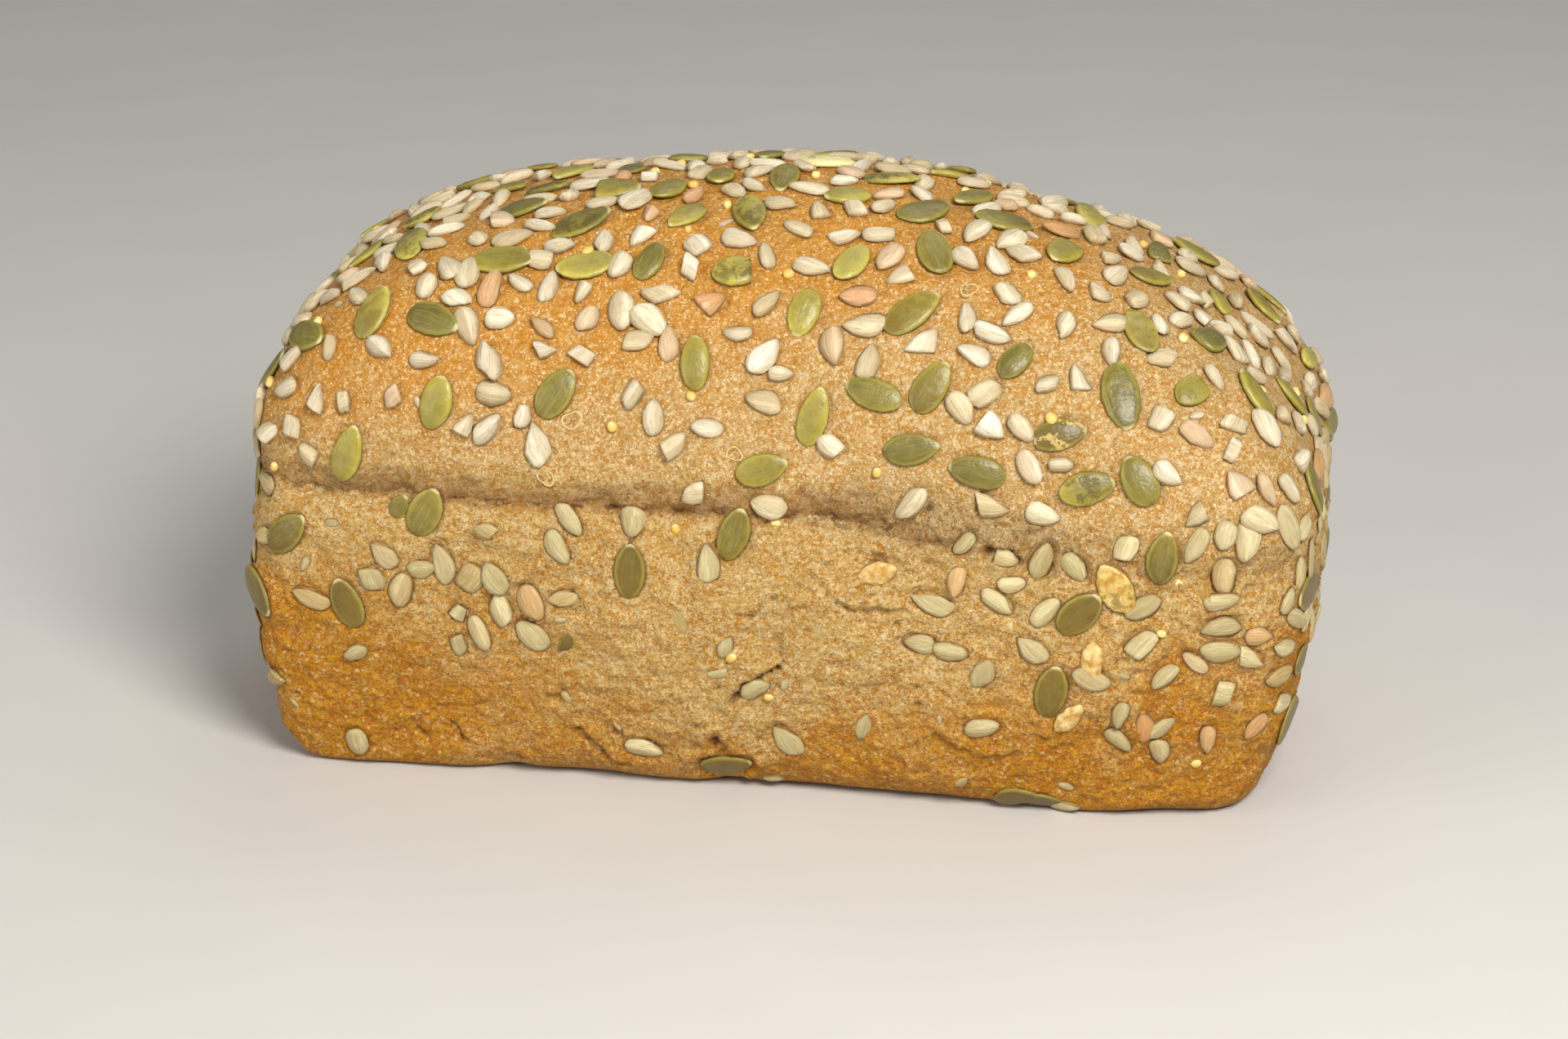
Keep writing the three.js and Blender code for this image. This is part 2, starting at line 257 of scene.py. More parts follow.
def relief(u, point):
    """The slow swells of the bread, and the depth of the crease that runs round it."""
    above = above_rim(u, point)
    turn = u * pi / 2 - CREASE_DEEPEST
    depth = CREASE_DEPTH + CREASE_ONCE * np.cos(turn) + CREASE_TWICE * np.cos(2 * turn)
    over = (1 - clamp(above / CREASE_REACH_UP)) ** 2
    lip = np.exp(np.minimum(above, 0) / CREASE_REACH_DOWN)
    x, y, z = point[..., 0], point[..., 1], point[..., 2]
    swells = sum(high * np.sin(a * x + b * y + c * z + start) for a, b, c, start, high in LUMPS)
    return swells * rise(z, 0, SETTLED), depth * over * lip


def crust(u, v):
    """The loaf's surface as the construction model has it."""
    u, v = np.broadcast_arrays(np.asarray(u, float), np.asarray(v, float))
    point = plain_loaf(u, v)
    swells, crease = relief(u, point)
    return point + plain_normal(u, v) * (swells - crease)[..., None]


corner_points = crust(np.linspace(0, 4, 200), 0.4)
print("plain loaf spans", np.round(np.ptp(corner_points, axis=0), 1), "mm at the crease")

# %% [markdown]
# ## Where the seeds lie
#
# The dough was rolled in seeds, so they crowd the dome and thin out down the walls.
# Throws of a seeded counter are tried one by one: a throw is kept where the local
# share of seeds is high enough and no earlier seed is too near. The pumpkin seeds
# and kernels that stand alone on the front are placed at listed spots. The counter and the
# rules are those of the construction model, so the seeds come out where its are.

# %% Values of the seeds, in mm
PUMPKIN = dict(length=11.7, width=6.9, thick=2.6, gap=10.5)
SUNFLOWER = dict(length=7.8, width=4.4, thick=2.7, gap=3.9)
OTHER_GAP = 4.7
SMALLEST, LARGEST = 0.82, 1.2
DOME_SEEDING, DOME_FROM, DOME_THICKENS, END_SEEDING = 0.03, 75, 10, 0.35
BACK_SUNFLOWERS, BACK_PUMPKINS, FRONT_SUNFLOWERS = 0.03, 0.02, 0.003
# u past 3, v and turn in degrees
FRONT_PUMPKINS = (
    (0.025, 0.304, 42), (0.103, 0.411, 76), (0.188, 0.345, 65), (0.105, 0.224, 111),
    (0.188, 0.489, 81), (0.303, 0.513, 58), (0.383, 0.292, 87), (0.436, 0.571, 92),
    (0.479, 0.343, 71), (0.506, 0.428, 21), (0.556, 0.508, 75), (0.619, 0.552, 163),
    (0.682, 0.574, 59), (0.649, 0.484, 13), (0.708, 0.467, 171), (0.802, 0.53, 14),
    (0.812, 0.462, 17), (0.869, 0.476, 119), (0.879, 0.382, 80), (0.799, 0.304, 45),
    (0.832, 0.34, 115), (0.777, 0.19, 80), (0.461, 0.035, 12),
)
# the same, then size and roast, of the kernels that stand alone
STRAYS = (
    (0.242, 0.507, -5, 1.05, 0.7), (0.245, 0.458, 40, 1.05, 0.7), (0.222, 0.457, 60, 0.9, 0.6),
    (0.276, 0.483, 85, 0.85, 0.8), (0.402, 0.487, 95, 0.95, 0.7), (0.454, 0.478, 170, 0.85, 0.6),
    (0.381, 0.525, 60, 1.0, 0.7), (0.143, 0.497, 40, 0.9, 0.02), (0.154, 0.546, 0, 0.9, 0.7),
    (0.404, 0.599, 100, 1.0, 0.03), (0.526, 0.565, 0, 0.7, 0.6), (0.707, 0.551, -50, 1.0, 0.7),
    (0.732, 0.531, -35, 0.95, 0.8), (0.764, 0.534, -45, 0.95, 0.7), (0.739, 0.576, 35, 0.95, 0.45),
    (0.76, 0.483, -60, 0.95, 0.07), (0.792, 0.49, 0, 0.7, 0.6), (0.916, 0.398, 240, 1.0, 0.7),
    (0.955, 0.41, 250, 0.85, 0.8), (0.989, 0.402, 268, 1.1, 0.9), (0.928, 0.437, 215, 0.95, 0.8),
    (1.048, 0.457, -80, 0.85, 0.03), (0.326, 0.347, -60, 1.05, 0.7), (0.315, 0.314, -60, 1.05, 0.7),
    (0.063, 0.225, 160, 1.1, 0.35), (0.011, 0.436, 100, 0.9, 0.6), (0.385, 0.348, 265, 0.95, 0.6),
    (0.456, 0.309, 95, 1.05, 0.9), (0.735, 0.329, 15, 0.8, 0.6), (0.767, 0.3, 50, 1.0, 0.8),
    (0.651, 0.23, 175, 0.95, 0.6), (0.68, 0.227, -5, 1.0, 0.6), (0.898, 0.107, 280, 0.9, 0.6),
    (0.715, 0.13, 10, 1.05, 0.7), (0.792, 0.359, -55, 1.0, 0.6), (0.211, 0.183, 100, 0.9, 0.6),
    (0.215, 0.219, 60, 0.9, 0.6), (0.183, 0.274, 20, 0.8, 0.6), (0.955, 0.257, 5, 1.15, 0.6),
)
# x, height, reach and share of the patches of kernels on the front
FRONT_PATCHES = (
    (-49, 43, 12, 0.3), (-78, 50, 12, 0.14), (-47, 56, 13, 0.16),
    (52, 52, 13, 0.3), (84, 36, 17, 0.3), (97, 62, 13, 0.16),
)


# %% The share of seeds at a place
def seeding(point, bare):
    """The chance that a throw is kept: high on the dome and the ends, low elsewhere."""
    x, y, z = point.T
    height = z + 12 * rise(x, 45, 85) + 8 * rise(np.abs(x), 84, 106)
    patchy = 0.6 + 0.4 * np.sin(0.19 * x + 1) * np.sin(0.13 * x + 0.24 * y + 2)
    dome = clamp(DOME_SEEDING * np.exp((height - DOME_FROM) / DOME_THICKENS) * patchy)
    ends = END_SEEDING * rise(np.abs(x), 104, 108) * rise(z, 14, 26)
    return np.maximum(np.maximum(dome, ends), bare)


def sunflower_share(point):
    """The sunflower kernels' chance, with the six patches that cling to the front."""
    x, y, z = point.T
    patches = [share * bell(np.hypot(x - a, z - b) / reach) for a, b, reach, share in FRONT_PATCHES]
    front = np.maximum(FRONT_SUNFLOWERS, np.max(patches, axis=0))
    return seeding(point, np.where(y > 0, BACK_SUNFLOWERS * rise(z, 12, 32), front))


def pumpkin_share(point):
    """The pumpkin seeds' chance: none on the low front, where they are placed by hand."""
    x, y, z = point.T
    low_front = (y < -30) & (z < 91) & (np.abs(x) < 104)
    return np.where(low_front, 0, seeding(point, BACK_PUMPKINS * rise(z, 12, 32)))


# %% Throws and their frames
def draws(start, count):
    """Numbers from 0 to 1 from a counter that multiplies and keeps the remainder."""
    factor, size, numbers = 48271, 2147483647, np.empty(count)
    for place in range(count):
        start = start * factor % size
        numbers[place] = start / size
    return numbers


def lying(out, turn, tilt):
    """Three directions for a seed that lies on the crust: along it, across it and out."""
    level = np.cross([0, 0, 1.0], out)
    level[length_of(level)[:, 0] < 0.05] = (0, 1, 0)
    level /= length_of(level)
    uphill = np.cross(out, level)
    out = out + level * tilt[:, :1] + uphill * tilt[:, 1:]
    out /= length_of(out)
    along = level * np.cos(turn)[:, None] + uphill * np.sin(turn)[:, None]
    along -= out * (along * out).sum(-1, keepdims=True)
    along /= length_of(along)
    return dict(along=along, across=np.cross(out, along), out=out)


def seeds_at(kind, u, v, turn, size, tilt):
    """Seeds as arrays: place, directions, size, the spine's three points and both ends."""
    at, ways = crust(u, v), lying(plain_normal(u, v), turn, tilt)
    reach = 0.42 * (kind["length"] - kind["width"]) * size
    spine = at[:, None] + ways["along"][:, None] * reach[:, None, None] * np.array([[-1], [0], [1.0]])
    ends = dict(start=-np.ones(len(size)), stop=np.ones(len(size)))
    return dict(u=u, v=v, at=at, size=size, spine=spine, **ways, **ends)


def nearest(spine, spines):
    """The least distance from one seed's spine to the spines of the seeds laid so far."""
    if len(spines) == 0:
        return np.inf
    apart = np.asarray(spines)[:, :, None] - spine
    return np.sqrt((apart**2).sum(-1).min())


def scatter(kind, start, throws, share, placed, others, clear):
    """Keeps the throws that the share allows and that lie clear of all seeds so far."""
    d = draws(start, throws * 8).reshape(-1, 8)
    size = mix(SMALLEST, LARGEST, d[:, 5])
    tilt = 0.24 * (d[:, 6:8] - 0.5)
    thrown = seeds_at(kind, 4 * d[:, 0], 0.03 + 0.96 * d[:, 1], 2 * pi * d[:, 4], size, tilt)
    gap = kind["gap"] * mix(0.9, 1.35, d[:, 3])
    spines, kept = list(placed["spine"]) if placed else [], []
    for one in np.flatnonzero(d[:, 2] <= share(thrown["at"])):
        spine = thrown["spine"][one]
        if nearest(spine, spines) >= gap[one] and nearest(spine, others) >= clear:
            spines.append(spine)
            kept.append(one)
    new = {name: values[kept] for name, values in thrown.items()}
    if placed is None:
        return new
    return {name: np.concatenate([placed[name], new[name]]) for name in new}


def by_hand(kind, rows):
    """Seeds at given places: u past 3, v, turn in degrees and size in each row."""
    rows = np.array(rows, float)
    flat = np.zeros((len(rows), 2))
    return seeds_at(kind, 3 + rows[:, 0], rows[:, 1], np.radians(rows[:, 2]), rows[:, 3], flat)


# %% Lay the seeds
whole_size = [(*row, 1) for row in FRONT_PUMPKINS]
pumpkins = scatter(PUMPKIN, 2024, 2600, pumpkin_share, by_hand(PUMPKIN, whole_size), (), 0)
sunflowers = scatter(SUNFLOWER, 77, 15000, sunflower_share, None, pumpkins["spine"], OTHER_GAP)
strays = by_hand(SUNFLOWER, STRAYS)
print(len(pumpkins["size"]), "pumpkin seeds and", len(sunflowers["size"]), "sunflower kernels")
print(len(strays["size"]), "more kernels placed by hand")

# %% [markdown]
# ## Noise
#
# Bread is uneven at every scale, so its relief is layered noise. Each whole-numbered
# cell corner gets a random arrow from a table, and a point takes a smooth blend of
# what the eight arrows round it say. It gives the same result on every run, because
# the table comes from a seeded draw.

# %% Noise on arrays
ARROWS = np.random.default_rng(11).normal(size=(4096, 3))
ARROWS /= length_of(ARROWS)
PRIMES = np.array([73856093, 19349663, 83492791])


def cell_key(cell, salt):
    """A scrambled whole number for each cell: its coordinates times primes, mixed by xor."""
    key = cell[..., 0] * PRIMES[0] ^ cell[..., 1] * PRIMES[1] ^ cell[..., 2] * PRIMES[2]
    key = key ^ (salt * 40503)
    return (key ^ (key >> 13)) & 4095


def noise(point, salt=0):
    """Smooth noise of about -1 to 1: the eight corners' arrows dotted and blended."""
    cell = np.floor(point).astype(np.int64)
    part = point - cell
    ease = part**3 * (part * (part * 6 - 15) + 10)
    total = np.zeros(point.shape[:-1])
    for corner in np.ndindex(2, 2, 2):
        arrow = ARROWS[cell_key(cell + corner, salt)]
        weight = np.where(np.array(corner) == 1, ease, 1 - ease).prod(-1)
        total += weight * (arrow * (part - corner)).sum(-1)
    return 1.7 * total


def layered(point, salt, layers=3):
    """Noise added to itself at double the fineness and half the height, layer by layer."""
    return sum(0.5**layer * noise(point * 2**layer, salt + layer) for layer in range(layers))


def ridges(point, salt):
    """Sharp winding lines: one where the noise crosses zero, falling off beside it."""
    return clamp(1 - 3.2 * np.abs(noise(point, salt)))


def pits(point, salt, size, chance, small, large):
    """Round hollows at random places, one at most in a cell: depth from 0 to 1.

    A hollow of radius r is one less the squared distance over r, squared again.
    """
    cell = np.floor(point / size).astype(np.int64)
    deepest = np.zeros(point.shape[:-1])
    for neighbour in np.ndindex(3, 3, 3):
        spot = cell + neighbour - 1
        key = cell_key(spot, salt)
        place = (spot + 0.5 + 0.45 * ARROWS[key]) * size
        radius = mix(small, large, ((key * 7 % 1000) / 1000) ** 2)
        near = ((point - place) ** 2).sum(-1) / radius**2
        there = ARROWS[(key * 3 + 5) & 4095][..., 0] > 1 - 2 * chance
        deepest = np.maximum(deepest, np.where(there, clamp(1 - near) ** 2 * radius, 0))
    return deepest


sample = np.random.default_rng(3).uniform(-50, 50, (4000, 3))
print("noise runs from", noise(sample).min().round(2), "to", noise(sample).max().round(2))

# %% [markdown]
# ## Folds and cracks
#
# Where the dough was tucked into the tin its skin folded, and where it rose it
# tore. The folds that the front shows are short bent lines in a flat map of the
# wall: mm round the loaf from the middle of the front, and mm up. A line is a
# groove with a low swollen lip on both sides, or a raised ridge where its depth is
# below zero. Folds of the same kind are drawn at random for the rest of the walls.

# %% Values of the folds
# points, depth, width, and how far the crust steps up to the right of the line
FOLDS = (
    # the open gap at the middle of the front, and the long fold that comes down to it
    (((3.9, 31.4), (0.2, 29.2), (-3.4, 26.1), (-6.2, 22.6)), 1.7, 0.7, 0.7),
    (((10.0, 46.8), (6.3, 44.2), (4.7, 40.5), (4.5, 36.5), (5.6, 33.3), (3.9, 31.4)), 0.8, 0.8, -0.9),
    # the stepped crack on its left, then the pale lip and the groove under it
    (((-4.6, 43.8), (-0.4, 44.4), (1.2, 47.1), (4.2, 48.2)), 0.9, 0.5, -0.5),
    (((12.5, 54.6), (17.5, 48.9), (21.0, 47.6), (29.0, 48.0)), -0.7, 0.8, -0.3),
    (((16.5, 47.9), (20.6, 46.0), (29.5, 46.3)), 0.8, 0.6, -0.6),
    # the soft arc below
    (((12.0, 29.6), (20.9, 27.9), (26.4, 29.2), (31.0, 33.0)), 0.6, 1.0, -0.7),
    (((15.0, 33.5), (18.9, 34.9)), 0.6, 0.5, -0.3),
    # the torn line under the dome
    (((2.0, 64.4), (9.0, 65.9), (18.0, 65.2), (25.0, 66.0)), 0.9, 0.6, 0),
    (((-38.0, 66.4), (-29.0, 64.6), (-20.0, 64.2), (-12.0, 64.9)), 0.8, 0.5, 0),
    (((-80.0, 64.6), (-70.0, 65.4), (-60.0, 64.4)), 0.5, 0.5, 0),
    # the skin's edge at the right of the torn patch
    (((60.5, 75.5), (60.4, 70.5), (57.5, 66.4), (52.0, 65.4)), -0.9, 0.6, 0.4),
    (((46.0, 60.4), (52.0, 58.6), (59.5, 57.2)), 1.8, 1.0, 0),
    # short folds low on the left
    (((-41.0, 13.0), (-36.5, 7.6), (-31.0, 3.4)), 1.3, 0.8, -0.6),
    (((-31.8, 13.8), (-29.6, 9.6)), 1.1, 0.8, -0.4),
    (((-69.5, 12.4), (-67.5, 7.4)), 1.0, 0.9, -0.4),
    (((-79.0, 12.0), (-76.4, 7.6)), 0.9, 0.8, -0.4),
    # the notch at the base, and two soft folds right of it
    (((-10.4, 13.6), (-8.2, 8.6), (-6.0, 4.0)), 1.9, 1.1, 0.5),
    (((44.0, 15.2), (50.0, 13.4), (55.0, 15.0)), 0.7, 0.8, -0.5),
    (((66.0, 27.0), (72.0, 24.4), (80.0, 25.6)), 0.6, 0.7, -0.5),
)
STEP_REACH = 4.5
# place round, height, radius and depth of the single hollows on the front
HOLLOWS = (
    (34.7, 68.9, 1.7, 1.2), (56.0, 68.4, 1.5, 1.0), (58.4, 57.4, 1.0, 1.6), (28.7, 43.4, 0.9, 1.1),
    (69.7, 11.6, 0.8, 1.2), (93.5, 56.4, 2.4, 1.1), (33.3, 29.4, 0.9, 1.0), (24.5, 57.2, 2.2, 1.4),
    (-2.5, 27.0, 2.0, 1.0), (-52.5, 45.5, 2.2, 1.1),
)
RANDOM_FOLDS = 120


# %% Lines on a flat map
def flat_map(u):
    """Mm round the loaf at half the wall's height, 0 at the middle of the front."""
    stations = np.linspace(0, 4, 1601)
    points = plain_loaf(stations, RIM_SHARE / 2)
    walked = np.concatenate([[0], np.cumsum(length_of(np.diff(points, axis=0))[:, 0])])
    whole = walked[-1]
    round_it = np.interp(np.mod(u, 4), stations, walked) - np.interp(3.5, stations, walked)
    return np.mod(round_it + whole / 2, whole) - whole / 2, whole


def random_folds(count, whole):
    """Short bent lines all round the walls except where the front has its own."""
    rng = np.random.default_rng(40)
    made = []
    while len(made) < count:
        middle = np.array([rng.uniform(-whole / 2, whole / 2), rng.uniform(4, 58)])
        if abs(middle[0]) < 34:
            continue
        slant = rng.normal(0, 0.55)
        half = rng.uniform(1.6, 6.5) * np.array([np.cos(slant), np.sin(slant)])
        bend = rng.normal(0, 0.28) * np.array([-half[1], half[0]])
        line = (middle - half, middle + bend, middle + half)
        made.append((line, rng.uniform(0.2, 0.65), rng.uniform(0.4, 0.8), -rng.uniform(0.1, 0.6)))
    return made


def distance_to_line(place, line):
    """From flat places to a bent line: the least distance, the side, and the way along it.

    The side is 1 to the right of the nearest stretch and -1 to its left. The way
    along counts a whole number for each stretch.
    """
    least = np.full(place.shape[:-1], np.inf)
    side, way = np.zeros_like(least), np.zeros_like(least)
    for number, (start, end) in enumerate(zip(line[:-1], line[1:])):
        start, run = np.array(start), np.array(end) - np.array(start)
        share = clamp(((place - start) @ run) / (run @ run))
        distance = length_of(place - start - share[..., None] * run)[..., 0]
        closer = distance < least
        side = np.where(closer, np.sign((place - start) @ np.array([run[1], -run[0]])), side)
        way = np.where(closer, number + share, way)
        least = np.where(closer, distance, least)
    return least, side, way / (len(line) - 1)


def fold_relief(place, lines):
    """What all the lines add to the crust, and how deep their grooves are."""
    lift, groove = np.zeros(place.shape[:-1]), np.zeros(place.shape[:-1])
    level_place = np.concatenate([place, np.zeros((*place.shape[:-1], 1))], -1) / 2.6
    place = place + 0.7 * np.stack([noise(level_place, 90), noise(level_place, 91)], -1)
    broken = mix(0.3, 1, rise(noise(level_place * 1.3, 92), -0.45, 0.25))
    for line, depth, width, step in lines:
        low, high = np.min(line, axis=0) - 2 * STEP_REACH, np.max(line, axis=0) + 2 * STEP_REACH
        near = ((place > low) & (place < high)).all(-1)
        away, side, way = distance_to_line(place[near], line)
        fading = rise(way, 0, 0.35) * (1 - rise(way, 0.65, 1)) * bell(away / STEP_REACH)
        deep = depth * broken[near] * bell(away / width)
        lift[near] += 0.6 * step * side * fading * (1 - bell(away / width)) - deep
        lift[near] += 0.3 * depth * bell((away - 2.3 * width) / (1.2 * width))
        groove[near] = np.maximum(groove[near], deep)
    return lift, groove


# %% [markdown]
# ## The fine relief of the crust
#
# Three skins meet on the loaf. The dome's is tight, with low blisters, small pits
# and a sandy grain. The walls' is wrinkled and fibrous, drawn out level where the
# dough slid up the tin. Between them runs a band that tore: strands hang upright
# there over small caves. One function gives the lift of all three and the masks
# that the colours use later, so that what looks torn is also torn in shape.

# %% Values of the fine relief, in mm
# the height, feature size, salt and layers of each noise in a heap
BLISTERS = ((0.26, 7.5, 20, 3), (0.12, 2.4, 24, 2))
LUMPY = ((0.6, 11, 42, 2), (0.34, (2.7, 2.7, 2.4), 43, 2))
RAGGED = ((0.95, (3.6, 3.6, 2.7), 50, 3),)
WRINKLE_SIZE, STRAND_SIZE = np.array([5.0, 5.0, 4.3]), np.array([1.9, 1.9, 6.5])
WARP, WARP_SIZE, WARP_SALTS = 1.3, 9, (30, 31, 32)
# salt, cell, chance, least and greatest radius
PORES, CAVES = (60, 5.5, 0.3, 0.45, 1.3), (64, 5.0, 0.75, 1.0, 2.6)
PORE_DEPTH, CAVE_DEPTH = 0.8, 0.75
# the width, height and salt of each noise on the flat map
WANDER, SPOTS, WAVES, FILLING, BREAKS = (13, 30, 3), (19, np.inf, 8), (4, 9, 5), (15, 40, 6), (9, 16, 70)
DOME_STARTS, FRONT_STARTS = (3, 12), (20, 40)
TORN_PLACE, TORN_WIDTH, TORN_REACH = 38, 30, (3.6, 7.5)
LINE_RISE, LINE_PLACE, LINE_REACH = 3, 14, 16
CREASE_FILLED, SLIT_DEPTH, SLIT_REACH, GAP_FAR = (0.3, 0.72), 0.7, 0.9, 12


# %% Fine relief
def heap(point, rows):
    """Several noises added up, each by its row of height, size, salt and layers."""
    return sum(high * layered(point / np.array(size), salt, layers) for high, size, salt, layers in rows)


def map_noise(round_it, z, wide, high, salt):
    """Noise on the flat map of the walls, with features of this width and height."""
    return noise(np.stack([round_it / wide, z / high, 0 * z], -1), salt)


def fine_relief(u, v, point):
    """Lift in mm along the outward direction, and masks from 0 to 1, at each point."""
    above, z = above_rim(u, point), point[..., 2]
    round_it, whole = flat_map(u)
    wander = 1.6 * map_noise(round_it, z, *WANDER)
    dome = rise(above + wander, *DOME_STARTS)
    front = rise(-point[..., 1], *FRONT_STARTS)
    patch = bell((round_it - TORN_PLACE) / TORN_WIDTH) * front
    spotty = 0.42 + 0.5 * map_noise(round_it, z, *SPOTS)
    strength = clamp(np.maximum(spotty, 0.25) + 0.75 * patch)
    reach = mix(*TORN_REACH, patch)
    torn = clamp(bell((above + wander - 0.75 * reach) / reach) * 1.15) * strength

    warp = WARP * np.stack([noise(point / WARP_SIZE, salt) for salt in WARP_SALTS], -1)
    drawn_out = point / WRINKLE_SIZE + warp * 0.4
    wrinkles = 0.5 * layered(drawn_out, 34) - 0.2 * ridges(drawn_out * 0.8, 38)
    strands = ridges(point / STRAND_SIZE + 0.5 * warp, 46)
    ragged = heap(point, RAGGED) + 0.45 * strands - 0.6
    pores, caves = pits(point, *PORES), pits(point, *CAVES)

    lines = list(FOLDS) + random_folds(RANDOM_FOLDS, whole)
    fold, groove = fold_relief(np.stack([round_it, z], -1), lines)
    line_up = LINE_RISE * bell((round_it - LINE_PLACE) / LINE_REACH) * front
    wavering = above - line_up + 0.6 * wander + 0.5 * map_noise(round_it, z, *WAVES)
    _, crease = relief(u, plain_loaf(u, v))
    filled = mix(*CREASE_FILLED, rise(round_it, 5, 42)) + 0.16 * map_noise(round_it, z, *FILLING)
    broken_up = rise(map_noise(round_it, z, *BREAKS), -0.3, 0.3)
    fading = mix(0.5, 1, rise(round_it, -92, -62)) * mix(1, 0.22, rise(round_it, 20, 38))
    cleft = mix(0.6, fading, front) * mix(0.75, 1, broken_up)
    slit = SLIT_DEPTH * bell(wavering / SLIT_REACH) * cleft
    holes = np.zeros_like(z)
    for a, b, radius, depth in HOLLOWS:
        away = np.hypot(round_it - a, z - b) / radius
        holes = np.maximum(holes, depth * clamp(1 - away**2) * front)

    lift = dome * heap(point, BLISTERS) + (1 - dome) * (wrinkles + heap(point, LUMPY))
    lift = lift + torn * ragged - PORE_DEPTH * pores * mix(1, 0.55, dome) - CAVE_DEPTH * torn * caves
    lift = lift + fold - holes - slit + crease * filled
    settled = rise(z, 0, 5)
    # hollow says how much shade is painted into the grooves, holes, pores and caves
    hollow = clamp(0.6 * groove + 0.6 * holes + 0.9 * pores + 0.5 * torn * caves) * settled
    gap = np.clip(wavering, -GAP_FAR, GAP_FAR)
    return lift * settled, dict(dome=dome, torn=torn, hollow=hollow, gap=gap, cleft=cleft)


# %% [markdown]
# ## The crust's mesh
#
# The surface is laid on a grid of columns round the loaf and rows up it. The
# front, which is seen most and has the finest folds, gets the closest columns. The
# grid closes on itself round the loaf and runs to one point at the crown and one
# below. A mask for browning goes with it: the low walls sat in hot tin and the
# crown was nearest to the heat, so both are darker than the belt between them.

# %% Mesh helpers
BOX_MARGIN = 0.03
INSIDE = np.array(CAD_BOX) / MM + np.array([[BOX_MARGIN, BOX_MARGIN, 0], [-BOX_MARGIN] * 3])
pieces = {}


def body_faces(count, rings, steps):
    """Faces of closed bodies: each has rings of points in order, then its two end points.

    Quads join neighbouring rings, and a fan of triangles closes the first ring with
    the first end point and the last ring with the second.
    """
    number = np.arange(rings * steps).reshape(rings, steps)
    after = np.roll(number, -1, axis=1)
    quads = np.stack([number[1:], after[1:], after[:-1], number[:-1]], -1)
    first, last = np.full((2, steps), rings * steps) + [[0], [1]]
    fans = np.stack([[number[0], after[0], first], [after[-1], number[-1], last]]).swapaxes(1, 2)
    offsets = np.arange(count)[:, None, None] * (rings * steps + 2)
    return [*(quads.reshape(-1, 4) + offsets).reshape(-1, 4).tolist(),
            *(fans.reshape(-1, 3) + offsets).reshape(-1, 3).tolist()]


def make_piece(name, points, faces, masks, slot):
    """A smooth mesh object from arrays, in mm, with its masks as attributes.

    Whatever would stand out of the frame's box by a fraction of a mm is pressed in.
    """
    points = np.clip(points, INSIDE[0], INSIDE[1])
    mesh = bpy.data.meshes.new(name)
    mesh.from_pydata((points * MM).tolist(), [], faces)
    for mask, values in masks.items():
        layer = mesh.attributes.new(mask, "FLOAT", "POINT")
        layer.data.foreach_set("value", np.asarray(values, np.float32))
    mesh.shade_smooth()
    mesh.validate()
    piece = bpy.data.objects.new(name, mesh)
    bpy.context.scene.collection.objects.link(piece)
    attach(piece, "root")
    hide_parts("loaf")
    pieces[name] = piece
    print(name, len(points), "points,", sum(len(face) - 2 for face in faces), "triangles")


# %% Columns and rows
COLUMNS = {"right end": 64, "back": 84, "left end": 46, "front": 320}
WALL_ROWS, DOME_ROWS = 86, 102
u_line = np.concatenate([side + np.arange(n) / n for side, n in enumerate(COLUMNS.values())])
wall_line = np.linspace(0, RIM_SHARE, WALL_ROWS, endpoint=False)
dome_line = np.linspace(RIM_SHARE, 1, DOME_ROWS, endpoint=False)
u_grid, v_grid = np.meshgrid(u_line, np.concatenate([wall_line, dome_line]))
print(u_grid.shape[1], "columns and", u_grid.shape[0], "rows")


# %% Browning
def browning(point):
    """How brown the crust is low on the walls and on the crown, from 0 to 1 each."""
    x, y, z = point[..., 0], point[..., 1], point[..., 2]
    uneven = 0.5 * layered(point / 26, 80, 3)
    belly = 0.45 * bell((x + 44 - 1.5 * z) / 37) * rise(-y, 0, 30)
    low = clamp(0.95 - (z - 4) / 55 + 0.35 * uneven - belly + 0.1 * rise(x, 40, 90))
    left = 0.5 * rise(-x, 45, 95) * (1 - rise(z, 36, 62))
    crown = rise(z + 9 * uneven + 0.06 * np.abs(x) - 0.18 * x, 84, 116)
    right_end = 0.6 * rise(x, 104, 109) * (1 - rise(z, 34, 62))
    return clamp(smooth(low) + left + right_end), crown


# %% [markdown]
# ## Room for the seeds
#
# A seed that was pressed into dough lies in a shallow bed: the crust is level under
# it and dips in a narrow ring round it. So each point of the crust looks for the
# seed it is nearest to, measured in that seed's own length and width. Inside the
# seed it takes the level of the crust at the seed's middle, and just outside it
# gets the dip.

# %% Beds for the seeds
MOST_LIFT, PRESSED_FADES = 1.2, 16


def break_some(seeds, share, both, number):
    """Where each seed's body starts and stops, -1 to 1: a broken one ends short of its end."""
    rng = np.random.default_rng(number)
    count = len(seeds["size"])
    broken, which = rng.uniform(size=(2, count))
    first, last = rng.uniform(-0.7, -0.25, count), rng.uniform(0.15, 0.6, count)
    seeds["start"] = np.where((broken < share) & (which < 0.4 + both), first, -1.0)
    seeds["stop"] = np.where((broken < share) & (which > 0.4), last, 1.0)


def settle(seeds):
    """Lifts each seed with the fine relief, and notes how far down the wall it is."""
    lift, _ = fine_relief(seeds["u"], seeds["v"], seeds["at"])
    level = np.clip(lift, -MOST_LIFT, MOST_LIFT)[:, None]
    seeds["bed"] = seeds["at"] + plain_normal(seeds["u"], seeds["v"]) * level
    seeds["pressed"] = 1 - smooth(clamp((seeds["bed"][:, 2] - RIM_HEIGHT) / PRESSED_FADES))


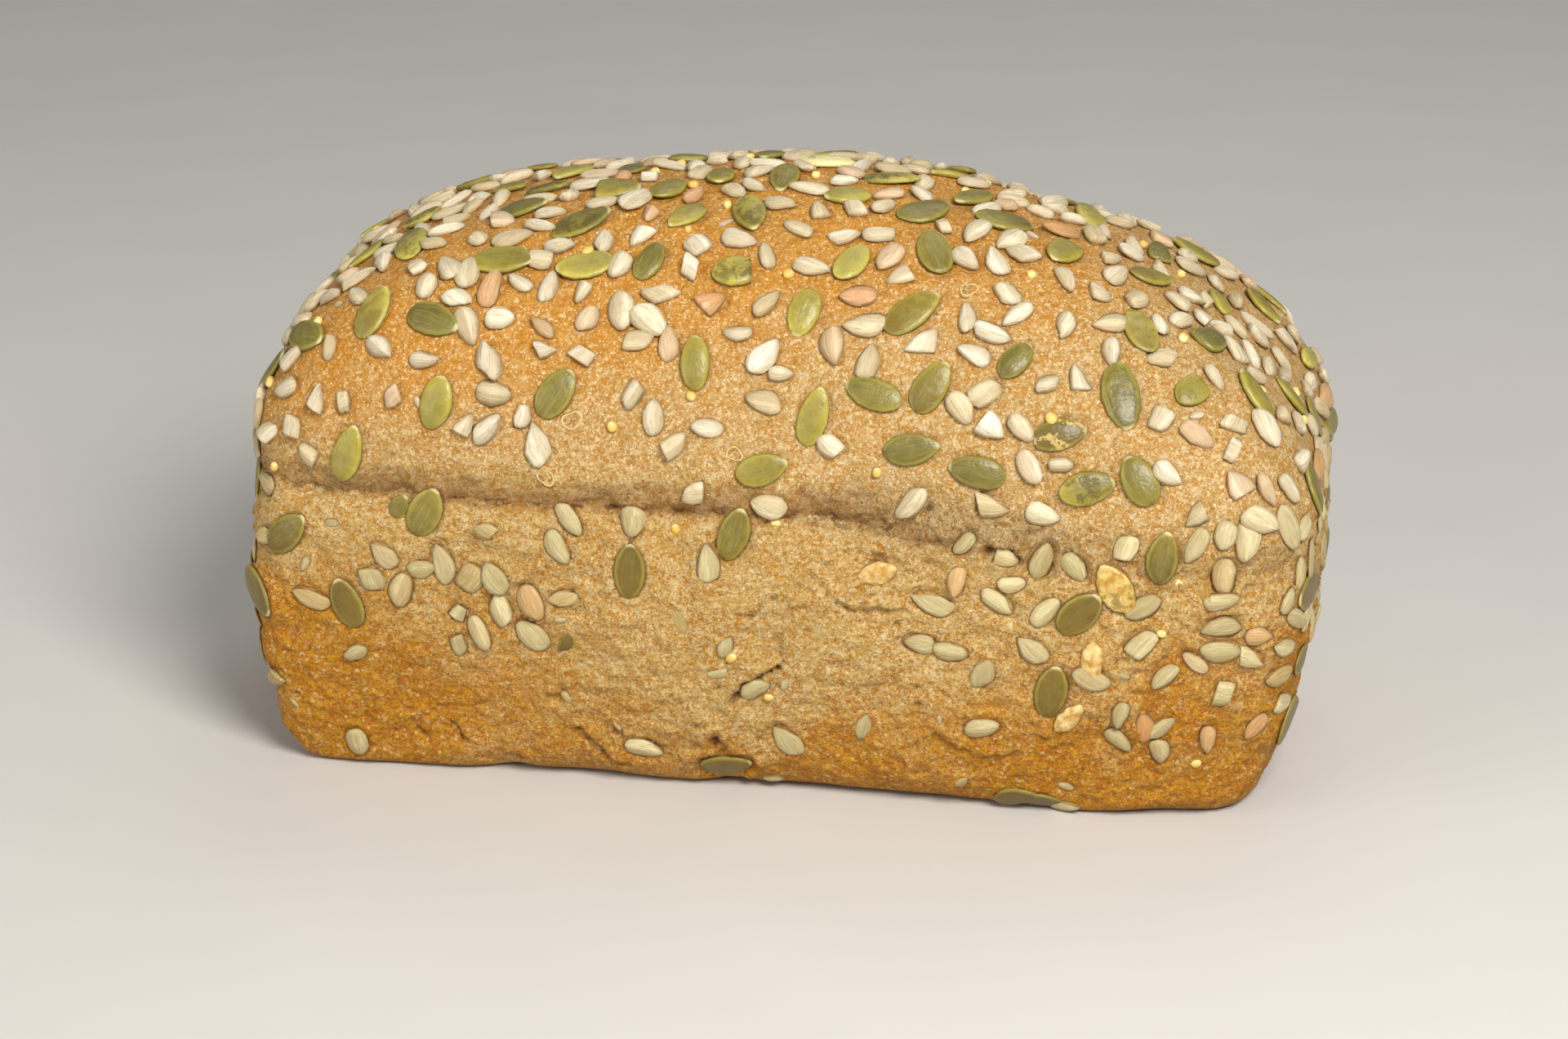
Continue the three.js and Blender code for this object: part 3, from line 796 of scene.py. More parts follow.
def nearest_seed(points, groups):
    """Each point's distance to its nearest seed, 1 at the seed's outline, and that seed's bed.

    The distance is the length of (along over half length, across over half width,
    out over a few mm). Seeds are tried in blocks, and the least distance is kept.
    """
    deep, block = 5.0, 24
    least = np.full(len(points), np.inf)
    kept = {"bed": np.zeros((len(points), 3)), "out": np.zeros((len(points), 3))}
    kept["pressed"] = np.zeros(len(points))
    for kind, seeds in groups:
        for first in range(0, len(seeds["size"]), block):
            part = {name: values[first : first + block] for name, values in seeds.items()}
            away = points[:, None] - part["at"][None]
            half = np.array([kind["length"], kind["width"]]) / 2 * part["size"][:, None]
            along = (away * part["along"]).sum(-1) / half[:, 0]
            across = (away * part["across"]).sum(-1) / half[:, 1]
            out = (away * part["out"]).sum(-1) / deep
            distance = np.sqrt(along**2 + across**2 + out**2)
            distance = np.maximum(distance, 1 + 2 * (part["start"] - along))
            distance = np.maximum(distance, 1 + 2 * (along - part["stop"]))
            best = distance.argmin(1)
            near = distance[np.arange(len(points)), best]
            closer = near < least
            least[closer] = near[closer]
            for name, values in kept.items():
                values[closer] = part[name][best[closer]]
    return least, kept["bed"], kept["out"], kept["pressed"]


break_some(pumpkins, 0.07, 0, 21)
break_some(sunflowers, 0.36, 0.15, 22)
break_some(strays, 0.25, 0.15, 23)
for seeds in (pumpkins, sunflowers, strays):
    settle(seeds)

# %% Make the crust
# the bed's edge, the dip round it and the lip round the dip, 1 at the seed's outline
BED_EDGE = (1.0, 1.5)
DIP_DEPTH, DIP_PLACE, DIP_REACH = (0.1, 0.32), 1.12, 0.16
LIP_HEIGHT, LIP_PLACE, LIP_REACH = 0.28, 1.5, 0.2
FAR = 4
plain = crust(u_grid, v_grid)
lift, masks = fine_relief(u_grid, v_grid, plain)
seeds_laid = ((PUMPKIN, pumpkins), (SUNFLOWER, sunflowers), (SUNFLOWER, strays))
surface = plain + plain_normal(u_grid, v_grid) * lift[..., None]
found = nearest_seed(surface.reshape(-1, 3).astype(np.float32), seeds_laid)
distance, bed, out_of, pressed = (values.reshape(*lift.shape, *values.shape[1:]) for values in found)
covered = 1 - rise(distance, *BED_EDGE)
over_bed = ((surface - bed) * out_of).sum(-1)
dip = mix(*DIP_DEPTH, pressed) * bell((distance - DIP_PLACE) / DIP_REACH)
dip = dip - LIP_HEIGHT * pressed * bell((distance - LIP_PLACE) / LIP_REACH)
surface = surface - out_of * (covered * over_bed + dip)[..., None]
surface[..., 2] = np.maximum(surface[..., 2], 0)
masks["near"] = np.minimum(distance, FAR)
masks["hollow"] = masks["hollow"] * (1 - covered)
masks["toast"], masks["crown"] = browning(plain)
ends = dict(dome=(0, 1), torn=(0, 0), hollow=(0, 0), gap=(-GAP_FAR, GAP_FAR), cleft=(0, 0), near=(FAR, FAR))
ends.update(toast=(1, 0), crown=(0, 1))
masks = {name: np.concatenate([masks[name].ravel(), ends[name]]) for name in masks}
points = np.concatenate([surface.reshape(-1, 3), [(0, 0, 0), plain_loaf(0, 1) + (0, 0, 0.1)]])
outward = [face[::-1] for face in body_faces(1, *u_grid.shape)]
make_piece("loaf_crust", points, outward, masks, "crust")
print("fine relief runs from", lift.min().round(2), "to", lift.max().round(2), "mm")

# %% [markdown]
# ## Seeds
#
# A seed is a profile carried along its length: stations run from end to end, and at
# each one a closed section is scaled to the seed's width and thickness there. The
# pumpkin seed's section has a bead along its margin and a shallow dish inside it.
# The kernel's section has two long ridges with facets between them, as a hulled
# sunflower kernel has. Some are broken off square, and each seed draws its own
# looks. All seeds of one kind are one mesh, and each has only a few dozen faces.

# %% A seed's outline and body
TIP_PLACE, CURVE_MIDDLE = 1.02, 0.4
ROUND_POWER, THINNEST = 3.2, 0.02
KEEL_FROM, KEEL_SHIFT = 0.3, 0.25


def seed_width(s, tip, blunt):
    """Width from 0 to 1 at s from -1 to 1: a power of the way left to each end."""
    widest = (blunt - tip) / (blunt + tip)
    shape = np.clip(1 - s, 0, None) ** tip * np.clip(1 + s, 0, None) ** blunt
    return shape / ((1 - widest) ** tip * (1 + widest) ** blunt)


def lay(seeds, along, across, out):
    """Points given in mm along, across and out of each seed, put where the seed lies."""
    place = seeds["bed"][:, None]
    for way, distance in (("along", along), ("across", across), ("out", out)):
        place = place + seeds[way][:, None] * distance[..., None]
    return place.reshape(-1, 3)


def seed_bodies(kind, seeds, form, looks):
    """Points and masks of many seeds.

    At a station s the half width is the outline's and the half thickness a root of
    the way left to the ends, and the section gives across and out as shares of them.
    """
    (y, z), stations, count = form[0].T, form[1], len(seeds["size"])
    length, width, thick = (kind[name] / 2 for name in ("length", "width", "thick"))
    look = {name: values.reshape(count, -1, 1) for name, values in looks.items()}
    start, stop = seeds["start"], seeds["stop"]
    tips = (np.where(start > -1, start, -TIP_PLACE), np.where(stop < 1, stop, TIP_PLACE))
    tips = np.stack(tips, -1)[:, None]
    s = mix(start[:, None], stop[:, None], (stations + 1) / 2)[..., None]
    outline = seed_width(s, look["tip"], look["blunt"]) * look["wobble"]
    rounding = np.clip(1 - np.abs(s) ** ROUND_POWER, THINNEST, None) ** 0.5
    keel = look["ridge"] * (z > KEEL_FROM) * np.sign(y) * KEEL_SHIFT

    def bow(s):
        """How far the seed's middle line lies out of the crust."""
        return look["bend"] * s**2 + look["lift"] + look["slope"] * s * length

    def joined(rings, ends):
        """One row a seed: its rings in order, then its two end points."""
        rings = np.broadcast_to(rings, (count, len(stations), len(y))).reshape(count, -1)
        return np.concatenate([rings, np.broadcast_to(ends, (count, 1, 2))[:, 0]], axis=1)

    along = joined(s * look["long"] * length + look["shear"] * y * width, tips * look["long"] * length)
    across = (y + keel) * outline * width * look["wide"]
    across = across + look["curve"] * (s**2 - CURVE_MIDDLE) * width
    out = joined(z * rounding * thick * look["thick"] + bow(s), bow(tips))
    size = seeds["size"][:, None]
    inner = joined((1 - np.abs(y)) * outline, 0)
    masks = dict(inner=inner, proud=out, length=joined(s, tips), side=joined(y, 0))
    return lay(seeds, along * size, joined(across, 0) * size, out), masks


# %% One piece of seeds
PLAIN_LOOKS = dict(tip=0.5, blunt=0.5, long=1, wide=1, thick=1, wobble=1)
PLAIN_LOOKS.update(bend=0, ridge=0, curve=0, shear=0, slope=0)


def seed_piece(name, slot, kind, seeds, form, looks, lift, flat, number, roast=None, tones=1, **own):
    """One piece of seeds, each with looks drawn evenly from their ranges, and its masks.

    lift and flat, the lift in mm and the share of the thickness, are for a seed on
    the dome and for one that is pressed into the wall. shear is a middle and a spread.
    """
    rng = np.random.default_rng(number)
    count, pressed = len(seeds["size"]), seeds["pressed"]
    drawn = {look: np.full(count, float(value)) for look, value in PLAIN_LOOKS.items()}
    for look, (low, high) in looks.items():
        draw = rng.normal if look == "shear" else rng.uniform
        drawn[look] = draw(low, high, (count, len(form[1])) if look == "wobble" else count)
    drawn["lift"] = mix(*lift, pressed)
    for look, change in (("thick", flat), ("bend", (1, 0.3)), ("slope", (1, 0.2))):
        drawn[look] = drawn[look] * mix(*change, pressed)
    if "ridge" in looks:
        drawn["shear"] = drawn["shear"] * np.where(seeds["stop"] - seeds["start"] < 2, 2, 1)
    points, masks = seed_bodies(kind, seeds, form, drawn)
    own["tone"] = rng.uniform(0, tones, count)
    own["roast"] = rng.uniform(size=count) if roast is None else roast
    own["pressed"] = pressed
    masks.update({mask: np.repeat(values, len(points) // count) for mask, values in own.items()})
    flat_masks = {mask: values.ravel() for mask, values in masks.items()}
    make_piece(name, points, body_faces(count, len(form[1]), len(form[0])), flat_masks, slot)


# %% Pumpkin seeds and kernels
PUMPKIN_SECTION = np.array([
    (1, -0.1), (0.95, 0.4), (0.78, 0.68), (0.42, 0.84), (0, 0.9),
    (-0.42, 0.84), (-0.78, 0.68), (-0.95, 0.4), (-1, -0.1), (0, -0.8),
])
PUMPKIN_FORM = (PUMPKIN_SECTION, np.array([-0.96, -0.82, -0.5, -0.05, 0.42, 0.78, 0.96]))
PUMPKIN_LOOKS = dict(
    tip=(0.5, 0.6), blunt=(0.44, 0.5), long=(0.93, 1.05), wide=(0.92, 1.1), thick=(0.75, 1.1),
    bend=(-0.3, 0.35), curve=(-0.08, 0.08), shear=(0, 0.06), slope=(-0.1, 0.1), wobble=(0.975, 1.025),
)
KERNEL_SECTION = np.array([
    (1, -0.1), (0.84, 0.42), (0.46, 0.86), (0, 1), (-0.46, 0.86), (-0.84, 0.42), (-1, -0.1), (0, -0.8),
])
KERNEL_FORM = (KERNEL_SECTION, np.array([-0.95, -0.78, -0.45, -0.05, 0.35, 0.7, 0.93]))
KERNEL_LOOKS = dict(
    tip=(0.42, 0.75), blunt=(0.3, 0.42), long=(0.88, 1.04), wide=(0.9, 1.26), thick=(0.85, 1.15),
    bend=(-0.2, 0.2), ridge=(-1, 1), curve=(-0.22, 0.22), shear=(0, 0.14), slope=(-0.15, 0.15),
    wobble=(0.93, 1.07),
)
BARE_SEED, PALE_SEED, SPOILED_SEED = 20, 119, 15
number = np.arange(len(pumpkins["size"]))
flesh = 1.0 * (number == BARE_SEED) + 0.5 * (number == PALE_SEED)
seed_piece(
    "pumpkin_seeds", "pumpkin_seed", PUMPKIN, pumpkins, PUMPKIN_FORM, PUMPKIN_LOOKS,
    (0.52, 0.052), (1, 0.72), 5, flesh=flesh, spoiled=number == SPOILED_SEED,
)
for name, seeds, number, roast in (
    ("sunflower_kernels", sunflowers, 6, None),
    ("stray_kernels", strays, 35, np.array(STRAYS)[:, 4]),
):
    seed_piece(
        name, "sunflower_seed", SUNFLOWER, seeds, KERNEL_FORM, KERNEL_LOOKS,
        (0.54, 0.108), (1, 0.62), number, roast,
    )

# %% [markdown]
# ## Millet and small seeds
#
# Round yellow millet grains sit between the larger seeds, and small flat seeds and
# chips of kernel are pressed into the skin everywhere. They are thrown by the same
# rule with wider shares. A grain is a ball of five rings, and a small seed is the
# kernel's body at a third of its size.

# %% Throw the small ones
MILLET = dict(length=2.2, width=2.1, thick=2.1, gap=6.5)
SMALL = dict(length=3.4, width=2.0, thick=1.0, gap=8)
MILLET_SHARE, SMALL_SHARE, SMALL_GAP = 0.16, 0.11, 3.4
MILLET_SECTION = np.array([(1, 0), (0.6, 0.75), (-0.6, 0.75), (-1, 0), (-0.6, -0.75), (0.6, -0.75)])
MILLET_FORM = (MILLET_SECTION, np.array([-0.85, -0.4, 0.15, 0.6, 0.9]))
MILLET_LOOKS = dict(wide=(0.95, 1.05), thick=(0.95, 1.05))
SMALL_LOOKS = dict(tip=(0.5, 0.8), blunt=(0.4, 0.5), wide=(0.75, 1.1), thick=(0.95, 1.05))


def millet_share(point):
    """Millet is on the dome and thinly on the walls."""
    return MILLET_SHARE * mix(0.3, 1, rise(point[:, 2], 40, 80)) * rise(point[:, 2], 10, 20)


def small_share(point):
    """Small seeds are everywhere, a little more on the walls."""
    return SMALL_SHARE * mix(1, 0.5, rise(point[:, 2], 60, 90)) * rise(point[:, 2], 6, 12)


laid = np.concatenate([seeds["spine"] for seeds in (pumpkins, sunflowers, strays)])
millet = scatter(MILLET, 311, 2600, millet_share, None, laid, SMALL_GAP)
laid = np.concatenate([laid, millet["spine"]])
small = scatter(SMALL, 97, 1900, small_share, None, laid, SMALL_GAP)
settle(millet)
settle(small)
seed_piece(
    "millet_grains", "millet_grain", MILLET, millet, MILLET_FORM, MILLET_LOOKS, (0.45, -0.18), (1, 1), 13
)
seed_piece("small_seeds", "sunflower_seed", SMALL, small, KERNEL_FORM, SMALL_LOOKS, (0, 0), (1, 1), 11)

# %% [markdown]
# ## Bits placed one by one
#
# A few things on the front are unlike the rest: kernels that the skin has nearly
# closed over, yellow chunks of broken pumpkin seed, and flat seeds that the dough
# caught at its base edge. Each is placed at a listed spot and takes the body of its kind.

# %% Make the placed bits
# u past 3, v, turn in degrees, size and roast
BURIED_KERNELS = (
    (0.472, 0.208, 70, 0.72, 0.5), (0.463, 0.171, 20, 0.75, 0.5), (0.497, 0.15, 35, 1.0, 0.5),
    (0.601, 0.109, 75, 0.95, 0.5), (0.95, 0.329, 10, 1.05, 0.6), (0.428, 0.235, 100, 0.9, 0.4),
    (0.107, 0.161, 35, 0.8, 0.5), (0.507, 0.014, 6, 0.7, 0.6), (0.812, 0.01, 4, 1.0, 0.5),
    (0.875, 0.144, 95, 1.0, 1.0),
)
CHUNKS = ((0.612, 0.317, 25, 0.72, 0.5), (0.797, 0.156, 60, 0.72, 0.5), (0.814, 0.239, 80, 0.75, 0.5))
CAUGHT_SEEDS = (
    (0.758, 0.024, 6, 0.9, 0.5), (0.789, 0.018, -4, 0.95, 0.3),
    (0.317, 0.192, 70, 0.5, 0.5), (0.161, 0.349, 60, 0.55, 0.4),
)
BIT_LOOKS = dict(
    tip=(0.4, 0.6), blunt=(0.3, 0.45), long=(0.85, 1.0), wide=(0.9, 1.1), thick=(0.9, 1.1),
    curve=(-0.3, 0.3), shear=(0, 0.2), wobble=(0.86, 1.14),
)
BIT_TONES = 0.4
for name, slot, kind, rows, form, lift, flat, number in (
    ("buried_kernels", "sunflower_seed", SUNFLOWER, BURIED_KERNELS, KERNEL_FORM, -0.25, 0.75, 31),
    ("seed_chunks", "pumpkin_seed", PUMPKIN, CHUNKS, KERNEL_FORM, 0.1, 0.8, 32),
    ("caught_seeds", "pumpkin_seed", PUMPKIN, CAUGHT_SEEDS, PUMPKIN_FORM, 0.2, 0.6, 33),
):
    bits = by_hand(kind, rows)
    settle(bits)
    bits["pressed"] = np.ones(len(rows))
    roast = np.array(rows)[:, 4]
    seed_piece(
        name, slot, kind, bits, form, BIT_LOOKS, (lift, lift), (flat, flat), number, roast, BIT_TONES
    )

# %% [markdown]
# ## Burst bubbles
#
# Gas bubbles broke through the tight skin of the dome and left small craters: a
# thin pale rim round a brown pit. A crater is a short profile turned round its
# middle, with a rim that is not quite round. A few are placed at listed spots, the others
# are thrown like the seeds.

# %% Craters
BUBBLE = dict(length=2.6, width=2.4, thick=0.8, gap=13)
BUBBLE_SHARE, BUBBLE_GAP = 0.07, 4.4
BUBBLES_PLACED = (
    (0.324, 0.476, 30, 1.5), (0.305, 0.397, 10, 1.3), (0.48, 0.445, 60, 1.2),
    (0.804, 0.725, 0, 1.3), (0.144, 0.766, 0, 1.2), (0.691, 0.7, 40, 0.9),
)
CRATER_OUT = np.array([0.55, 0.86, 1.0, 1.08, 1.3])
CRATER_UP = np.array([0.03, 0.12, 0.3, 0.16, -0.3])
CRATER_POLES, CRATER_STEPS, CRATER_SIZE = (0.02, -0.6), 14, 1.25
OVAL, THREE_SIDED, UNEVEN = 0.16, 0.1, 0.4


def bubble_share(point):
    """Bubbles broke mostly on the dome."""
    return BUBBLE_SHARE * rise(point[:, 2], 60, 80)


def craters(seeds):
    """Points, faces and masks: at each angle the profile gives the way out and the height."""
    rng = np.random.default_rng(34)
    count = len(seeds["size"])
    angle = 2 * pi * np.arange(CRATER_STEPS) / CRATER_STEPS
    start = rng.uniform(0, 2 * pi, (count, 2, 1))
    radius = 1 + OVAL * np.cos(2 * angle + start[:, 0]) + THREE_SIDED * np.cos(3 * angle + start[:, 1])
    radius = radius * CRATER_SIZE * seeds["size"][:, None]
    height = 1 + UNEVEN * np.cos(2 * angle + start[:, 1])
    away = radius[:, None] * CRATER_OUT[:, None]
    ways = (away * np.cos(angle), away * np.sin(angle), height[:, None] * CRATER_UP[:, None])
    poles = ((0, 0), (0, 0), CRATER_POLES)
    places = [
        np.concatenate([way.reshape(count, -1), np.tile(pole, (count, 1))], axis=1)
        for way, pole in zip(ways, poles)
    ]
    reach = np.concatenate([np.repeat(CRATER_OUT, CRATER_STEPS), [0, 1.4]])
    faces = body_faces(count, len(CRATER_OUT), CRATER_STEPS)
    return lay(seeds, *places), faces, {"reach": np.tile(reach, count)}


taken = np.concatenate([laid, small["spine"]])
bubbles = scatter(BUBBLE, 501, 700, bubble_share, by_hand(BUBBLE, BUBBLES_PLACED), taken, BUBBLE_GAP)
settle(bubbles)
make_piece("burst_bubbles", *craters(bubbles), "crust")

# %% [markdown]
# ## Shader helpers
#
# A material is a small tree of nodes. These helpers work on the tree that is open,
# set or link a new node's inputs in one call, and give back one output as a value
# that adds and multiplies like a number, so that a material reads like a recipe.
# Colours are written as they look on a screen, from 0 to 255.

# %% Node helpers
class Value:
    """One output of a node. Values add, subtract and multiply as numbers do."""

    def __init__(self, socket):
        self.socket = socket

    def __add__(self, other):
        return maths("ADD", self, other)

    def __sub__(self, other):
        return maths("SUBTRACT", self, other)

    def __mul__(self, other):
        return maths("MULTIPLY", self, other)


def put(kind, inputs, output=0, **settings):
    """A new node with its settings and its inputs, each linked or set: one of its outputs."""
    node = tree.nodes.new("ShaderNode" + kind)
    for name, value in settings.items():
        setattr(node, name, value)
    for name, value in inputs.items():
        if isinstance(value, Value):
            tree.links.new(value.socket, node.inputs[name])
        else:
            node.inputs[name].default_value = value
    return Value(node.outputs[output])


def maths(operation, first, second=0.0):
    """The result of a Math node."""
    return put("Math", {0: first, 1: second}, operation=operation)


def stretch(value, low, high, to_low=0.0, to_high=1.0):
    """A value moved from one range to another and kept inside it."""
    inputs = {"Value": value, "From Min": low, "From Max": high, "To Min": to_low, "To Max": to_high}
    return put("MapRange", inputs)


def colour(screen):
    """A screen colour as Blender's linear one: the standard curve, undone."""
    if isinstance(screen, Value):
        return screen
    share = np.array(screen) / 255
    linear = np.where(share <= 0.04045, share / 12.92, ((share + 0.055) / 1.055) ** 2.4)
    return (*linear.tolist(), 1)


def blend(share, first, second, how="MIX"):
    """Two colours blended by a share from 0 to 1."""
    inputs = {0: share, 6: colour(first), 7: colour(second)}
    return put("Mix", inputs, 2, data_type="RGBA", blend_type=how)


def paint(skin, *coats):
    """Coats laid over a colour one after another, each a share and a colour."""
    for share, coat in coats:
        skin = blend(share, skin, coat)
    return skin


def masks_of(*names):
    """The mesh's own masks of these names."""
    return [put("Attribute", {}, "Fac", attribute_type="GEOMETRY", attribute_name=name) for name in names]


def place_in_mm(scale=(1, 1, 1)):
    """The point on the object in mm, stretched by the scale each way."""
    where = put("TexCoord", {}, "Object")
    return put("Mapping", {"Vector": where, "Scale": tuple(share / MM for share in scale)})


def grainy(where, size, detail=3.0, roughness=0.55):
    """Blender's noise with features of about this size in mm."""
    return put("TexNoise", {"Vector": where, "Scale": 1 / size, "Detail": detail, "Roughness": roughness})


def from_middle(value):
    """How far noise lies from its middle, which makes winding lines near 0."""
    return maths("ABSOLUTE", value - 0.5)


def streaks_along(along, side, tone, scale):
    """Noise drawn out along each seed, another stretch of it for each tone."""
    where = put("CombineXYZ", {0: along, 1: side * 5.0, 2: tone * 90.0})
    return put("TexNoise", {"Vector": where, "Scale": scale, "Detail": 3.0})


def new_material(name, roughness, specular, **more):
    """A material with its tree and its Principled shader ready."""
    material = bpy.data.materials.new(name)
    material.use_nodes = True
    shader = material.node_tree.nodes["Principled BSDF"]
    for socket, value in {"Roughness": roughness, "Specular IOR Level": specular, **more}.items():
        shader.inputs[socket].default_value = value
    return material, material.node_tree, shader


def finish_material(skin, bumps, *names):
    """Links the colour and a chain of bumps, each a height and its mm, and dresses the pieces."""
    tree.links.new(skin.socket, shader.inputs["Base Color"])
    inputs = {}
    for height, depth in bumps:
        inputs.update({"Height": height, "Distance": depth * MM, "Strength": 1.0})
        inputs["Normal"] = put("Bump", inputs)
    tree.links.new(inputs["Normal"].socket, shader.inputs["Normal"])
    for name in names:
        pieces[name].data.materials.append(material)
    print(material.name, "has", len(tree.nodes), "nodes")


# %% [markdown]
# ## Speckle
#
# Bran in the crust, mottling on a pumpkin seed and toasted spots on a kernel are the
# same effect at different sizes: small cells, each a little lighter or darker than
# its neighbours, with crooked borders. It is one node group, placed in each material
# with its own cell size.

# %% The speckle group
tree = speckle_group = bpy.data.node_groups.new("speckle", "ShaderNodeTree")
for name, kind, way in (
    ("Place", "NodeSocketVector", "INPUT"),
    ("Size", "NodeSocketFloat", "INPUT"),
    ("Fleck", "NodeSocketFloat", "OUTPUT"),
    ("Blotch", "NodeSocketFloat", "OUTPUT"),
    ("Grain", "NodeSocketFloat", "OUTPUT"),
):
    speckle_group.interface.new_socket(name=name, in_out=way, socket_type=kind)
entry, leave = tree.nodes.new("NodeGroupInput"), tree.nodes.new("NodeGroupOutput")
place, size = Value(entry.outputs["Place"]), Value(entry.outputs["Size"])
fineness = put("Math", {0: 1.0, 1: size}, operation="DIVIDE")
scaled = put("VectorMath", {0: place, "Scale": fineness}, operation="SCALE")
crooked = put("TexNoise", {"Vector": scaled, "Scale": 0.9, "Detail": 3.0}, 1)
crooked = put("VectorMath", {0: crooked, 1: (-0.5, -0.5, -0.5)}, operation="ADD")
crooked = put("VectorMath", {0: crooked, "Scale": 1.6}, operation="SCALE")
moved = put("VectorMath", {0: scaled, 1: crooked}, operation="ADD")
cells = put("TexVoronoi", {"Vector": moved, "Scale": 1.0}, "Color", feature="F1")
clouds = put("TexNoise", {"Vector": moved, "Scale": 0.62, "Detail": 6.0, "Roughness": 0.68})
results = {
    "Fleck": put("SeparateColor", {"Color": cells}),
    "Blotch": stretch(clouds, 0.28, 0.72),
    "Grain": put("TexNoise", {"Vector": scaled, "Scale": 3.5, "Detail": 4.0, "Roughness": 0.6}),
}
for name, value in results.items():
    tree.links.new(value.socket, leave.inputs[name])
print("speckle group has", len(tree.nodes), "nodes")


def speckle(where, size):
    """The group placed in a material: its fleck, its blotch and its grain."""
    node = tree.nodes.new("ShaderNodeGroup")
    node.node_tree = speckle_group
    tree.links.new(where.socket, node.inputs["Place"])
    node.inputs["Size"].default_value = size
    return [Value(node.outputs[name]) for name in results]


# %% [markdown]
# ## Crust
#
# The crust is golden, paler in the belt above the crease and darker on the low
# walls. The walls carry orange and pale flecks of bran, drawn out level. The dome
# is smoother with a sandy grain. Torn parts are greyer and streaked upright. Shade
# is painted into the colour: brown in the grooves, pits and caves, in thin wrinkle
# lines, under the dome's lip and in a thin ring round each seed. The sandy grain is
# lightened and darkened as painted light and shade, and tiny pale flecks are painted glints.

# %% Crust colours
DOME, DOME_ORANGE, DOME_PALE = (170, 136, 67), (175, 112, 4), (210, 184, 138)
CROWN, CROWN_PALE = (187, 122, 20), (209, 164, 88)
WALL, WALL_ORANGE, WALL_PALE = (196, 158, 72), (180, 114, 6), (218, 191, 138)
LOW_WALL, LOW_ORANGE, LOW_PALE = (185, 121, 4), (167, 88, 0), (206, 154, 24)
# The pore colour is both the dark of small pores and the painted shade in a ring round each seed
BRAN, GLINT, PORE_AND_SEED_SHADE = (232, 208, 152), (250, 238, 208), (122, 74, 30)
# GLOOM and the deep brown are the browns of painted shade: wrinkle lines, torn gaps, under the dome's lip and
# in hollows
TORN, STRAND, GLOOM, DEEP_SHADE = (168, 124, 62), (218, 188, 128), (140, 90, 40), (96, 56, 22)

# %% Crust masks and grains
material, tree, shader = new_material("baked_crust", 0.62, 0.3)
where, level, upright = place_in_mm(), place_in_mm((0.95, 0.95, 1.15)), place_in_mm((1.3, 1.3, 0.7))
dome, torn, hollow, toast, crown = masks_of("dome", "torn", "hollow", "toast", "crown")
near, gap, cleft = masks_of("near", "gap", "cleft")
patches = grainy(where, 9, 4.0)
puffs = grainy(level, 1.9, 2.0, 0.4)
clouds = grainy(level, 3.4)
sand = grainy(where, 0.45, 3.0, 0.7)
fibres = grainy(upright, 0.75, 4.0, 0.75)
_, blotch, lumpy = speckle(level, 1.35)
fleck, fine_blotch, _ = speckle(where, 0.62)
glint, grit, _ = speckle(where, 0.28)


def by_place(on_wall, on_dome):
    """A number that changes from the walls to the dome."""
    return stretch(dome, 0, 1, on_wall, on_dome)


# %% Crust colour, from the large patches to the flecks
rough_toast = toast + stretch(patches, 0.33, 0.67, -0.3, 0.3)
rough_crown = crown + stretch(patches, 0.3, 0.7, -0.2, 0.2)
low_wall = stretch(rough_toast, 0.1, 0.8)
wall_colour = blend(stretch(rough_toast, 0, 1), WALL, LOW_WALL)
skin = blend(dome, wall_colour, blend(stretch(rough_crown, 0, 1), DOME, CROWN))
skin = blend(torn * 0.75, skin, blend(stretch(fibres, 0.42, 0.6), TORN, STRAND))
orange = blend(dome, blend(low_wall, WALL_ORANGE, LOW_ORANGE), DOME_ORANGE)
dome_pale = blend(stretch(rough_crown, 0.25, 1.0), DOME_PALE, CROWN_PALE)
pale = blend(dome, blend(low_wall, WALL_PALE, LOW_PALE), dome_pale)
busy = stretch(grainy(where, 7.0), 0.38, 0.6, 0.4, 1.15)
calm = stretch(crown, 0.0, 0.6, 1.0, 0.5) * busy
mottle = blotch * 0.55 + stretch(puffs, 0.25, 0.75) * 0.45
finely = by_place(1.0, 0.85) * stretch(busy, 0.4, 1.15, 0.6, 1.0)
for value, to_orange, to_pale, share in (
    (clouds, (0.5, 0.28), (0.5, 0.72), 0.45),
    (mottle, (0.5, 0.16), (0.5, 0.84), by_place(1.0, 0.65) * calm),
    (fine_blotch, (0.48, 0.26), (0.54, 0.76), finely),
    (grit, (0.46, 0.24), (0.56, 0.78), 0.75),
):
    skin = paint(skin, (stretch(value, *to_orange) * share, orange), (stretch(value, *to_pale) * share, pale))
skin = paint(
    skin,
    (stretch(fleck, 0.9, 0.95) * 0.45, BRAN),
    (stretch(fleck, 0.07, 0.02) * 0.3, PORE_AND_SEED_SHADE),
    (stretch(glint, 0.95, 0.975) * stretch(toast, 0, 1, 0.6, 0.12), GLINT),
)
shade = stretch(sand, 0.28, 0.72, by_place(0.87, 0.94), by_place(1.09, 1.03))
skin = blend(1.0, skin, put("CombineColor", {0: shade, 1: shade, 2: shade}), "MULTIPLY")

# %% Crust colour and painted shade in the wrinkles, the crease and the hollows
# Thin winding dark lines of painted shade, as if in fine wrinkles of the skin
crinkle_shade = stretch(from_middle(grainy(level, 3.2, 4.0, 0.6)), 0.02, 0.004)
crinkle_shade = crinkle_shade * stretch(grainy(where, 5.5), 0.45, 0.6) * by_place(1.0, 0.15)
threads = stretch(from_middle(grainy(level, 2.3, 3.0, 0.65)), 0.016, 0.004)
threads = threads * (torn * 0.5 + by_place(0.6, 0.35)) * stretch(toast, 0, 1, 1.0, 0.25)
